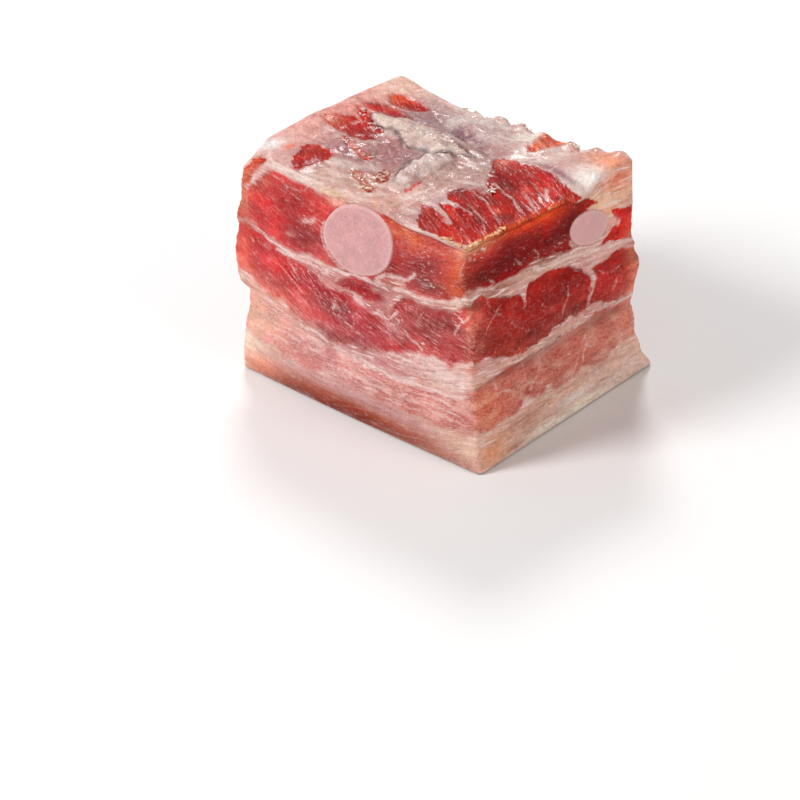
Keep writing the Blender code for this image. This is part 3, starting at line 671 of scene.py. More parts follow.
def meatPlaces(p, real):
    # each cut's own two coordinates for every point, and how near the point is to that cut; real is where the
    # swells and mounds carry it; the hidden cuts opposite read the same patterns, carried along the layers
    x, y, z = p.T
    realX, realY, realZ = real.T
    front, side = nearCut(y), nearCut(width - x)
    (frontAlong, frontUp), (sideAlong, sideUp), (topAlong, topUp) = (cutSlide[name] for name in cutSlide)
    s, t, w = (np.clip(a / size, 0, 1) for a, size in ((x, width), (y, depth), (z, height)))
    bows = {name: (bow[0], bow[1] * 4 * w * (1 - w) + bow[2] * (1 - w)) for name, bow in cutBow.items()}
    frontX = x + front * (realX + frontAlong * realY - x + bows["front"][0] * 4 * s * (1 - s))
    sideY = y + side * (realY + sideAlong * (realX - width) - y + bows["side"][0] * 4 * t * (1 - t))
    frontLift = front * (realZ + frontUp * realY - z + bows["front"][1])
    sideLift = side * (realZ + sideUp * (realX - width) - z + bows["side"][1])
    carriedBack = lineThrough(seamForm["upperSide"], y) - seamForm["upperSide"][1]
    carriedLeft = lineThrough(seamForm["upperFront"], x) - seamForm["upperFront"][-1]
    frontUpTo = z + frontLift - carriedBack * eased(y / 4)
    sideUpTo = z + sideLift - carriedLeft * eased((width - x) / 4)
    return {
        "layers": (frontX, sideY, z + (frontLift + sideLift) / np.maximum(front + side, 1.0)),
        "front": (frontX, frontUpTo, nearCut(np.minimum(y, depth - y))),
        "side": (sideY, sideUpTo, nearCut(np.minimum(x, width - x))),
        "top": (realX + topAlong * (realZ - height), realY + topUp * (realZ - height), nearCut(height - z)),
    }


def toward(base, amount, tone):
    # the base colour or value moved towards another by each point's amount
    amount = amount if np.ndim(base) < 2 else amount[:, None]
    return base + amount * (tone - base)


def cutOut(lean, edge, near):
    # the lean field with what lies inside an edge taken away, where its cut is near
    return np.minimum(lean, 6 * (1 - near) - edge)


# Where the top's tissue changes: (x, y, half length along x, half length along y)
topAreas = {
    "softReds": (6, 30, 9, 11),
    "clearRed": (9, 22.6, 5, 4),
    "softWedge": (42, 41, 4, 5),
    "plainLump": (58, 39, 7, 7),
    "wrinkled": (25, 24, 24, 20),
}
topBlush = ((22, 20, 15, 12, 0, 0.22), (7, 27, 9, 17, 0, 0.5))
topEdge = {"from": 45.1, "over": 0.7}   # the height at which the cuts' patterns give way to the top's


def paintMeat(p, real):
    # every value that the meat's material reads, worked out for all points at once
    x, y, z = p.T
    warp = 0.35 * cloud(p, 4.0, 1) + 0.22 * cloud(p, 1.7, 2)
    warpTwo = 0.4 * cloud(p, 3.2, 3) + 0.25 * cloud(p, 1.3, 4)
    moved = np.stack([warpTwo, warp, warp], axis=1)
    places, warped = meatPlaces(p, real), meatPlaces(p + moved, real + moved)
    onTop = eased((z - topEdge["from"]) / topEdge["over"])
    frontNear, sideNear = places["front"][2], places["side"][2]
    lean = leanField(*warped["layers"])
    for cut, outlines in cutFat.items():
        for outline in outlines:
            lean = cutOut(lean, outlineEdge(*warped[cut][:2], outline), warped[cut][2])
    for cut, outlines in cutLean.items():
        for outline in outlines:
            lean = np.maximum(lean, outlineEdge(*warped[cut][:2], outline) - 4 * (1 - warped[cut][2]))
    for speck in frontSpecks:
        lean = cutOut(lean, ovalEdge(*places["front"][:2], *speck), nearCut(y))
    muscle = topLeanField(*warped["top"][:2])
    softReds = within(1.5, x, y, *topAreas["softReds"]) * onTop
    muscle = muscle + 0.55 * softReds
    lean = toward(lean, onTop, muscle)
    low, high = seamHeight("lower", x, y), seamHeight("upper", x, y)
    aboveLow, aboveHigh = eased((z - low + 1) / 2), eased((z - high + 1) / 2)
    disc = np.maximum(ribOval(x, z + topPush(p), 0) - 9 * (1 - nearCut(y)),
                      ribOval(y, z + topPush(p), 1) - 9 * (1 - nearCut(width - x)))
    halo = eased((disc + 1.3) / 0.9) * nearCut(width - x)
    lean = lean - 2.5 * halo

    strand = np.full(x.shape, -9.0)
    for cut, lines in strandLines.items():
        along, up, near = (0.2 * a + 0.8 * b for a, b in zip(places[cut], warped[cut]))
        for half, *points in lines:
            strand = np.maximum(strand, lineEdge(along, up, points, half) - 5 * (1 - near))
    # painted highlight: a thin pale crescent hugging the rib's disc on its lower left, drawn as a strand
    centreX, _, centreZ = ribForm["start"]
    rimHighlightSide = eased((centreX + centreZ - 4 - x - z) / 4) * nearCut(y)
    strand = np.maximum(strand, 0.09 - np.abs(disc + 0.10) - 3 * (1 - rimHighlightSide))
    c = {name: linear(tone) for name, tone in meatColours.items()}
    leanTone = toward(toward(c["leanPink"] + 0 * p, aboveLow, c["leanMiddle"]), aboveHigh, c["leanUpper"])
    leanTone = leanTone + (sideNear * (1 - onTop) * aboveLow)[:, None] * (c["leanSide"] - c["leanMiddle"])
    leanTone = paint(toward(leanTone, onTop, c["leanTop"]), leanPatches, places)
    broad, spots = cloud(p, (5.5, 5.5, 3.2), 7), cloud(p, (2.4, 2.4, 1.2), 8)
    spotted = 0.15 + 0.17 * np.maximum(sideNear * aboveLow, onTop)
    leanTone = leanTone * (1 + (0.1 + 0.22 * aboveLow) * broad + spotted * spots)[:, None]
    paler = np.clip(cloud(p, (3.4, 3.4, 1.6), 9) + 0.5 * spots, 0, 1)
    paler = np.minimum(leanTone * (1 + paler[:, None] * [0.12, 1.1, 1.1]), linear((246, 170, 160)))
    leanTone = np.clip(np.maximum(leanTone, paler), 0.002, 0.95)
    fatTone = toward(toward(c["fatLow"] + 0 * p, aboveLow, c["fatSeam"]), eased((z - 40) / 4), c["fatTop"])
    fatTone = paint(fatTone, fatPatches, places) * (1 + 0.07 * broad + 0.07 * spots)[:, None]
    films = cloud(p, (4.2, 2.2, 2.0), 23) + 0.6 * cloud(p, (1.6, 0.9, 1.0), 24)
    leftRim = eased((11 - x) / 7)
    filmShare = onTop * (1 - within(1.6, x, y, *topAreas["plainLump"])) * (1 - 0.65 * leftRim)
    for side, tone, most in ((films, (250, 232, 222), 0.6), (-films, (178, 116, 116), 0.52)):
        fatTone = toward(fatTone, most * filmShare * np.clip(side - 0.05, 0, 1), linear(tone))

    lift, onSheet = 0.0, 0.0 * x
    blot = 1 + 0.15 * cloud(p, 1.2, 5) + 0.14 * cloud(p, 0.6, 6)
    for sheet, edge, free in sheetsAt(*warped["top"][:2]):
        inside = eased(edge / 0.35 + 0.5) * onTop
        lean = toward(lean, inside, -1.5)
        cloudy = np.clip(0.62 + 0.75 * cloud(p, (2.6, 1.6, 2), 21), 0.1, 1)
        fatTone = toward(fatTone, 0.85 * inside * cloudy, linear(sheet["tone"]) * blot[:, None])
        # painted highlight: a pale rim along each sheet's free torn edge; painted shadow: both tones darkened
        # just outside the free edge, where the lifted sheet shades the meat under it
        fatTone = toward(fatTone, 0.6 * free * onTop * bell(edge, 0.25, 0.3), linear((252, 236, 226)))
        shade = 1 - 0.6 * bell(edge, -0.45, 0.55) * (edge < 0.1) * free * onTop
        leanTone, fatTone = leanTone * shade[:, None], fatTone * shade[:, None]
        onSheet = np.maximum(onSheet, inside)
        lift = lift + sheet["lift"] * free * eased(edge / 0.5 + 0.3) * onTop

    turn = np.radians(2 - 26 * aboveLow + 17 * aboveHigh)
    bed = z - 0.5 * (low + high)
    along, across = x * np.cos(turn) + bed * np.sin(turn), bed * np.cos(turn) - x * np.sin(turn)
    fibre = np.stack([along * 0.085, y * 0.42, across * 1.05], axis=1)
    alongTop, acrossTop = turned(x, y, 0, 0, topDetail["fibreTurn"])
    fibreTop = np.stack([alongTop * 0.085, acrossTop * 1.0, z * 0.4 + 7], axis=1)
    fibre = np.where(onTop[:, None] > 0.5, fibreTop, fibre)
    strata = np.stack([x * 0.13, y * 0.13, bed * 1.1], axis=1)
    strata = np.where(onTop[:, None] > 0.5, np.stack([x * 0.45, y * 0.6, z * 0.5 + 5], axis=1), strata)
    middle = aboveLow * (1 - aboveHigh)
    inStreaks = (1 - aboveHigh) * eased((x - 6) / 10)
    bands = np.clip(0.75 + 0.7 * cloud(np.stack([x / 2, y / 2, bed], 1), 1.6, 25), 0.15, 1.4)
    upperRight = aboveHigh * eased((x - 38) / 8)
    streaky = 0.14 + frontNear * bands * (0.12 + 0.22 * aboveHigh + 0.6 * inStreaks + 0.2 * upperRight)
    streaky = toward(streaky, onTop, 0.10 + 0.22 * eased(muscle / 0.6))
    contrast = 0.8 + 0.8 * frontNear * inStreaks * aboveLow + 0.15 * sideNear * aboveLow
    contrast = toward(contrast - 0.25 * (1 - aboveLow) * (1 - 1.4 * sideNear), onTop, 1.9)
    veiny = 0.1 + 0.30 * aboveHigh * frontNear + (0.35 * middle + 0.25 * (1 - aboveLow)) * sideNear
    blurTop = 0.3 + 0.8 * softReds * (1 - within(1.5, x, y, *topAreas["clearRed"]))
    blurTop = blurTop + 0.9 * within(1.5, x, y, *topAreas["softWedge"])
    blur = toward(0.33 + 0.35 * frontNear + 0.25 * (1 - aboveLow), onTop, blurTop)
    blush = (0.22 * frontNear * (1 - aboveLow) + 0.3 * frontNear * aboveLow + 0.1) * (1 - onTop)
    blush = blush + sum(mound(x, y, form) for form in topBlush) * onTop * (1 - onSheet)
    gleam = 0.15 * streaky + 0.12 * onTop * eased(muscle / 0.5)
    for cut, rows in gleamPatches.items():
        for u, v, halfU, halfV, amount in rows:
            a, b = (places[cut][0] - u) / halfU, (places[cut][1] - v) / halfV
            gleam = np.maximum(gleam, amount * places[cut][2] * np.exp(-(a ** 2 + b ** 2)))
    rind = eased((0.45 + 0.25 * warp - z) / 0.4) * (1 - 0.85 * sideNear * eased((z - 0.05) / 0.1))
    threads = toward(0.15 + np.maximum(0.75 * eased((z - 5.5) / 3), 0.5 * sideNear), onTop,
                     (0.35 + 0.2 * spots) * (1 - 0.7 * leftRim))
    inMuscle = eased(muscle / 0.5)
    wrinkle = onTop * (0.45 + 0.65 * within(1.3, x, y, *topAreas["wrinkled"])) * (1 - inMuscle)
    cover = 0.52 - 0.30 * onTop * np.maximum(eased((9 - x) / 5), inMuscle) - 0.18 * sideNear * (1 - onTop)
    seen = {"lean": lean, "strand": strand, "streaky": streaky, "contrast": contrast,
            "veiny": veiny * (1 - onTop), "blur": blur, "blush": blush, "gleam": gleam, "rind": rind,
            "threads": threads, "wrinkle": wrinkle, "cover": cover}
    spaces = {"fleshSpace": p, "fibreSpace": fibre, "strataSpace": strata}
    tones = {"leanTone": leanTone, "fatTone": fatTone}
    shape = {"disc": disc, "lift": lift, "onTop": onTop, "muscle": muscle, "onSheet": onSheet}
    return seen, spaces, tones, shape


def topPush(p):
    # how far the top's rise lifts a point
    return eased(1 - (height - p[:, 2]) / blockForm["topReach"]) * topRise(p[:, 0], p[:, 1])


grainyOvals = ((15.5, 16.6, 6.5, 2.0, -20), (27.0, 7.2, 5.5, 2.6, -15))   # where the top is torn to grains
slitByFlap = (28.5, 33.2, 9.0, 0.8, -14, -0.9)


def relief(p, tissue, fibre):
    # how far the surface stands out along its normal: fat over lean, strands, fibre ridges, torn top and dish
    x, y, z = p.T
    leanShare = eased(tissue["lean"] / 0.8 + 0.5)
    out = 0.10 * cloud(p, 5.0, 11) + 0.05 * cloud(p, 1.5, 12)
    out = out - 0.16 * leanShare + 0.12 * eased(tissue["strand"] / 0.5 + 0.8)
    fibres = cloud(fibre * [1.0, 1.6, 1.6], 1.0, 13)
    out = out + 0.10 * fibres * leanShare
    onTop = tissue["onTop"]
    _, across = turned(x, y, 0, 0, topDetail["fibreTurn"])
    alongNoise = cloud(np.stack([x, y, z], 1), 6.0, 14)
    ridges = np.sin(2 * np.pi * (across / 1.7 + 0.5 * alongNoise))
    inMuscle = eased((x - 39) / 4) * eased(tissue["muscle"] / 1.0) * (1 - 0.6 * eased((x - 58) / 3))
    out = out + onTop * inMuscle * (0.16 * ridges + 0.12 * fibres)
    torn = onTop * (1 - inMuscle) * eased(1 - np.hypot((x - 25) / 26, (y - 24) / 25) ** 2)
    out = out + torn * (0.26 * cloud(p, (3.2, 1.9, 2.0), 15) + 0.10 * cloud(p, (1.6, 0.8, 1.0), 16))
    crumbs = sum(eased(ovalEdge(x, y, *oval)) for oval in grainyOvals)
    out = out + onTop * crumbs * 0.5 * np.abs(cloud(p, 0.8, 17))
    out = out + onTop * mound(x, y, slitByFlap) + tissue["lift"]
    out = out + 0.42 * tissue["onSheet"] * cloud(p, (1.5, 0.9, 1.0), 22)
    rim = onTop * eased(1 - (depth - y) / 3.0) * eased((x - 18) / 4)
    out = out + rim * 0.5 * np.clip(cloud(p, 1.5, 18) + 0.2, 0, 1)
    dish = eased((tissue["disc"] + 0.15) / 0.5)
    return out * (1 - eased((tissue["disc"] + 1.2) / 1.0)) - 0.55 * dish


def makeMeat():
    # the pushed block as one piece, its points carried out along their normals by the relief
    seen, spaces, tones, shape = paintMeat(flat, blockPoints - cornerShift(flat))
    out = relief(flat, {**seen, **shape}, spaces["fibreSpace"])
    points = blockPoints + toFrame
    piece = newPiece("meatBlock", points * mm, [blockQuads], "pork_belly")
    normals = np.empty(len(points) * 3, np.float32)
    piece.data.vertex_normals.foreach_get("vector", normals)
    awayFromRind = eased(flat[:, 2] / 1.5)
    points = points + normals.reshape(-1, 3) * (out * awayFromRind)[:, None]
    points[:, 2] = np.maximum(points[:, 2], 0.0)
    piece.data.vertices.foreach_set("co", (points * mm).astype(np.float32).ravel())
    piece.data.update()
    for kind, table in (("FLOAT_VECTOR", spaces), ("FLOAT_COLOR", tones), ("FLOAT", seen)):
        for name, values in table.items():
            addValues(piece, name, values, kind)
    return piece


def makeCartilage():
    # an oval profile carried along a path: up a cap's radius, along the bent rib and down the other cap
    form = ribForm
    steps, rings = form["steps"], form["capRings"]
    q = np.linspace(0, 1, rings) ** 0.7
    t = np.concatenate([np.zeros(rings), np.linspace(0, 1, steps)[1:-1], np.ones(rings)])
    r = np.concatenate([q, np.ones(steps - 2), q[::-1]])
    rim = np.clip((r - form["rimFrom"]) / (1 - form["rimFrom"]), 0, 1)
    back = form["rimRound"] * (1 - np.sqrt(1 - rim ** 2)) - form["proud"]
    offset = np.concatenate([back[:rings], np.zeros(steps - 2), -back[-rings:]])
    start, end = np.array(form["start"]), np.array(form["end"])
    bend = np.array([start[0], end[1], 0.0])
    tt = t[:, None]
    path = (1 - tt) ** 2 * start + 2 * tt * (1 - tt) * bend + tt ** 2 * end
    path[:, 2] = start[2] + (end[2] - start[2]) * eased(t)
    heading = (1 - tt) * (bend - start) + tt * (end - bend)
    heading[:, 2] = 0.0
    heading /= np.linalg.norm(heading, axis=1, keepdims=True)
    side = np.cross(heading, [0, 0, 1.0])
    halfWidth, halfHeight = (toward(form[name][0], t, form[name][1]) for name in ("halfWidth", "halfHeight"))
    angle = np.linspace(0, 2 * np.pi, form["sides"], endpoint=False)
    tilt = np.radians(toward(form["tilt"][0], tt, form["tilt"][1]))
    c, s = np.cos(tilt), np.sin(tilt)
    a = (r * halfWidth)[:, None] * np.cos(angle)
    b = (r * halfHeight)[:, None] * np.sin(angle)
    centre = path + offset[:, None] * heading
    wobble = 1 + 0.012 * np.sin(3 * angle + 1) + 0.01 * np.sin(5 * angle)
    across, up = (a * c - b * s) * wobble, (a * s + b * c) * wobble
    ring = centre[:, None] + across[..., None] * side[:, None] + up[..., None] * np.array([0, 0, 1.0])
    skin, quads, caps = closedTube(ring[1:-1], centre[[0, -1]])
    points = pushed(skin, top=0.0) + toFrame
    piece = newPiece("ribCartilage", points * mm, [quads, caps], "rib_cartilage")
    addValues(piece, "rim", np.concatenate([np.repeat(r[1:-1], form["sides"]), [0.0, 0.0]]))
    addValues(piece, "far", np.concatenate([np.repeat(t[1:-1], form["sides"]), [0.0, 1.0]]))
    return piece


def topSpot(u, v):
    # the flat place whose mound is seen at (u, v) of the top's patterns: (u, v) less the slide of its rise
    x, y = u, v
    for _ in range(4):
        rise = topRise(x, y)
        x, y = u - cutSlide["top"][0] * rise, v - cutSlide["top"][1] * rise
    return x, y


# Loose bits of fat and lean on the top: the line they lie along, how far they stray, how many, size, tones
crumbRuns = (
    ((10, 18.2, 14, 17.4, 20.5, 14.8), 0.9, 44, 0.33, ((226, 160, 150), (240, 206, 198), (206, 96, 88))),
    ((22.5, 9, 26, 8, 31, 5), 1.1, 44, 0.34, ((226, 150, 134), (236, 196, 172), (196, 96, 76))),
    ((27, 13, 29.6, 9.4), 0.9, 20, 0.34, ((150, 84, 66), (206, 140, 122), (226, 184, 168))),
    ((30.6, 17.8, 33, 17.5), 0.3, 9, 0.28, ((222, 192, 150), (176, 128, 104), (222, 192, 160))),
    ((19, 43.4, 28, 43.8, 38, 44), 0.4, 22, 0.36, ((240, 222, 206), (232, 204, 192), (222, 180, 162))),
    ((45, 44.2, 52, 44.6), 0.5, 12, 0.36, ((242, 222, 206), (236, 206, 192), (240, 180, 150))),
    ((21, 30.4, 24, 30.8, 33, 28.6), 0.4, 18, 0.3, ((222, 206, 192), (196, 170, 162), (150, 118, 112))),
    ((54, 0.5, 60.4, 1.2, 61, 4, 61.2, 10), 0.9, 50, 0.33,
     ((244, 168, 112), (236, 122, 76), (244, 200, 158))),
    ((4, 29, 9, 26.6, 14, 24.4), 0.7, 20, 0.3, ((230, 176, 166), (200, 60, 50), (240, 210, 204))),
    ((43, 25.6, 47, 21, 48, 20), 0.8, 16, 0.28, ((230, 200, 192), (214, 160, 150), (230, 200, 192))),
)


def makeCrumbs():
    # each bit is a ball stretched and dented by noise, half sunk in the top; all of them make one piece
    dice = np.random.default_rng(5)
    places, sizes, tones = [], [], []
    for line, stray, count, size, palette in crumbRuns:
        line = pairs(line)
        t = dice.random(count)
        for k in range(count):
            spot = [np.interp(t[k], np.linspace(0, 1, len(line)), line[:, axis]) for axis in (0, 1)]
            places.append(np.array(spot) + stray * dice.normal(0, 0.6, 2))
            sizes.append(size * dice.uniform(0.5, 1.15))
            tones.append(linear(palette[dice.integers(len(palette))]))
    places, sizes, tones = np.array(places), np.array(sizes), np.array(tones)
    x, y = topSpot(*places.T)
    x, y = np.clip(x, 0.5, width - 0.5), np.clip(y, 0.5, depth - 0.5)
    seats = pushed(np.stack([x, y, 0 * x + height], 1)) + toFrame
    ringCount, sides = 7, 10
    polar = np.linspace(0, np.pi, ringCount + 2)[1:-1, None]
    angle = np.linspace(0, 2 * np.pi, sides, endpoint=False)[None, :]
    belt = np.sin(polar)
    ball = np.stack([belt * np.cos(angle), belt * np.sin(angle), np.cos(polar) + 0 * angle], -1)
    ballPoints, quads, caps = closedTube(ball, np.array([[0, 0, 1.0], [0, 0, -1.0]]))
    turns = dice.uniform(0, 2 * np.pi, len(places))
    stretch = np.stack([dice.uniform(0.9, 2.2, len(places)), dice.uniform(0.6, 1.0, len(places)),
                        dice.uniform(0.35, 0.7, len(places))], 1)
    dents = cloud((ballPoints[None] + 5.0 * np.arange(len(places))[:, None, None]).reshape(-1, 3), 0.75, 31)
    dents = 1 + 0.6 * dents.reshape(len(places), -1)
    lumps = ballPoints[None] * dents[..., None] * stretch[:, None]
    c, s = np.cos(turns)[:, None], np.sin(turns)[:, None]
    a, b, up = np.moveaxis(lumps, -1, 0)
    lumps = np.stack([a * c - b * s, a * s + b * c, up], -1)
    points = (seats[:, None] + lumps * sizes[:, None, None]).reshape(-1, 3)
    step = (np.arange(len(places)) * len(ballPoints))[:, None, None]
    piece = newPiece("topCrumbs", points * mm, [(quads + step).reshape(-1, 4), (caps + step).reshape(-1, 3)],
                     "pork_belly")
    addValues(piece, "tone", np.repeat(tones, len(ballPoints), axis=0), "FLOAT_COLOR")
    return piece


opened = {"tree": None}   # the node tree under work, set by newGroup and newMaterial


def link(source, socket):
    # one socket joined to another in the open tree
    opened["tree"].links.new(source, socket)


def addNode(kind, inputs, **settings):
    # a node with its settings, and each input set or linked
    node = opened["tree"].nodes.new(kind)
    for name, setting in settings.items():
        setattr(node, name, setting)
    for name, given in inputs.items():
        if isinstance(given, bpy.types.NodeSocket):
            link(given, node.inputs[name])
        else:
            node.inputs[name].default_value = given
    return node


def calc(operation, a, b=0.0, c=0.0):
    # one sum of up to three numbers
    return addNode("ShaderNodeMath", {0: a, 1: b, 2: c}, operation=operation).outputs[0]


def times(a, b):
    # a * b
    return calc("MULTIPLY", a, b)


def timesPlus(a, b, c):
    # a * b + c
    return calc("MULTIPLY_ADD", a, b, c)


def ramp(given, low, high, first=0.0, second=1.0):
    # first to second, eased, as the given value goes from low to high
    inputs = {"Value": given, "From Min": low, "From Max": high, "To Min": first, "To Max": second}
    return addNode("ShaderNodeMapRange", inputs, interpolation_type="SMOOTHSTEP").outputs[0]


def blend(share, first, second, mode="MIX"):
    # first + share * (second - first), or the same share of another way to mix them
    inputs = {0: share, 6: first, 7: second}
    return addNode("ShaderNodeMix", inputs, data_type="RGBA", blend_type=mode).outputs[2]


def noise(vector, scale, detail=2.0, rough=0.5):
    # a smooth noise from 0 to 1
    inputs = {"Vector": vector, "Scale": scale, "Detail": detail, "Roughness": rough}
    return addNode("ShaderNodeTexNoise", inputs).outputs[0]


def calc3(vector, factors):
    # each of the three numbers times its own factor
    return addNode("ShaderNodeVectorMath", {0: vector, 1: factors}, operation="MULTIPLY").outputs[0]


def value(name, output=2):
    # a value that the mesh carries: output 0 is a colour, 1 a vector and 2 a number
    return addNode("ShaderNodeAttribute", {}, attribute_name=name).outputs[output]


def newGroup(name, inputs, outputs):
    # a node group with its sockets, and what flows in and out of it; a default of None is left alone
    group = opened["tree"] = bpy.data.node_groups.new(name, "ShaderNodeTree")
    for label, kind, default in inputs:
        socket = group.interface.new_socket(label, in_out="INPUT", socket_type="NodeSocket" + kind)
        if default is not None:
            socket.default_value = default
    for label, kind in outputs:
        group.interface.new_socket(label, in_out="OUTPUT", socket_type="NodeSocket" + kind)
    return group, group.nodes.new("NodeGroupInput").outputs, group.nodes.new("NodeGroupOutput").inputs


def useGroup(name, inputs):
    return addNode("ShaderNodeGroup", inputs, node_tree=groups[name]).outputs


def mottled(place, colour, scale, amount):
    return useGroup("mottle", {"Vector": place, "Colour": colour, "Scale": scale, "Amount": amount})["Colour"]


def wetFilm(place, dry, wet, cover, gleam=0.0):
    return useGroup("film", {"Vector": place, "Dry": dry, "Wet": wet, "Cover": cover, "Gleam": gleam})


def fibreGroup():
    # Tone swings about 0.5 along the fibres; Streak is 1 on the pale threads between them
    group, given, out = newGroup("fibreStreaks", [("Vector", "Vector", None), ("Contrast", "Float", 1.0)],
                                 [("Tone", "Float"), ("Streak", "Float")])
    broad = noise(given["Vector"], 1.0, 3.0, 0.6)
    fine = noise(given["Vector"], 2.7, 3.0, 0.6)
    swing = timesPlus(broad, given["Contrast"], times(given["Contrast"], -0.5))
    link(calc("ADD", swing, 0.5), out["Tone"])
    link(ramp(fine, 0.54, 0.66), out["Streak"])
    return group


def filmGroup():
    # a wet film in patches: Roughness falls and Coat rises where it lies, Height is its fine ripple
    inputs = [("Vector", "Vector", None), ("Dry", "Float", 0.5), ("Wet", "Float", 0.2),
              ("Cover", "Float", 0.5), ("Gleam", "Float", 0.0)]
    outputs = [("Roughness", "Float"), ("Coat", "Float"), ("Height", "Float")]
    group, given, out = newGroup("wetFilm", inputs, outputs)
    patch = noise(given["Vector"], 0.32, 3.0, 0.6)
    edge = calc("SUBTRACT", 1.0, given["Cover"])
    film = ramp(calc("SUBTRACT", patch, edge), -0.12, 0.12)
    film = calc("MAXIMUM", film, given["Gleam"])
    ripple = noise(given["Vector"], 1.1, 3.0, 0.55)
    drop = calc("SUBTRACT", given["Wet"], given["Dry"])
    link(timesPlus(film, drop, given["Dry"]), out["Roughness"])
    coat = timesPlus(film, 0.30, 0.02)
    link(timesPlus(given["Gleam"], 0.5, coat), out["Coat"])
    link(ripple, out["Height"])
    return group


def mottleGroup():
    # a colour broken up in soft spots, lighter and darker by Amount
    inputs = [("Vector", "Vector", None), ("Colour", "Color", None), ("Scale", "Float", 0.6),
              ("Amount", "Float", 0.2)]
    group, given, out = newGroup("mottle", inputs, [("Colour", "Color")])
    spots = noise(given["Vector"], given["Scale"], 4.0, 0.66)
    swing = timesPlus(calc("SUBTRACT", spots, 0.5), times(given["Amount"], 4.0), 1.0)
    shade = addNode("ShaderNodeCombineColor", {0: swing, 1: swing, 2: swing}).outputs[0]
    link(blend(1.0, given["Colour"], shade, "MULTIPLY"), out["Colour"])
    return group


def newMaterial(name):
    material = bpy.data.materials.new(name)
    material.use_nodes = True
    opened["tree"] = material.node_tree
    return material, material.node_tree.nodes["Principled BSDF"]


def objectPlace():
    # the place on the piece, in millimetres
    spot = addNode("ShaderNodeTexCoord", {}).outputs["Object"]
    return addNode("ShaderNodeMapping", {"Vector": spot, "Scale": (1 / mm,) * 3}).outputs[0]


def setShader(shader, film, height, lift, colour, depthOfLight, share):
    # the sockets that all the wet tissues share; the constants stand on the shader itself
    bump = addNode("ShaderNodeBump", {"Height": height, "Strength": 1.0, "Distance": lift * mm})
    link(colour, shader.inputs["Base Color"])
    link(film["Roughness"], shader.inputs["Roughness"])
    link(film["Coat"], shader.inputs["Coat Weight"])
    link(bump.outputs[0], shader.inputs["Normal"])
    constants = {"Coat Roughness": 0.12, "Coat IOR": 1.38, "IOR": 1.4, "Specular IOR Level": 0.14,
                 "Subsurface Weight": share, "Subsurface Radius": (1.0, 0.32, 0.22),
                 "Subsurface Scale": depthOfLight * mm}
    for name, constant in constants.items():
        shader.inputs[name].default_value = constant


def colourOf(tone):
    return (*[float(v) for v in linear(tone)], 1.0)


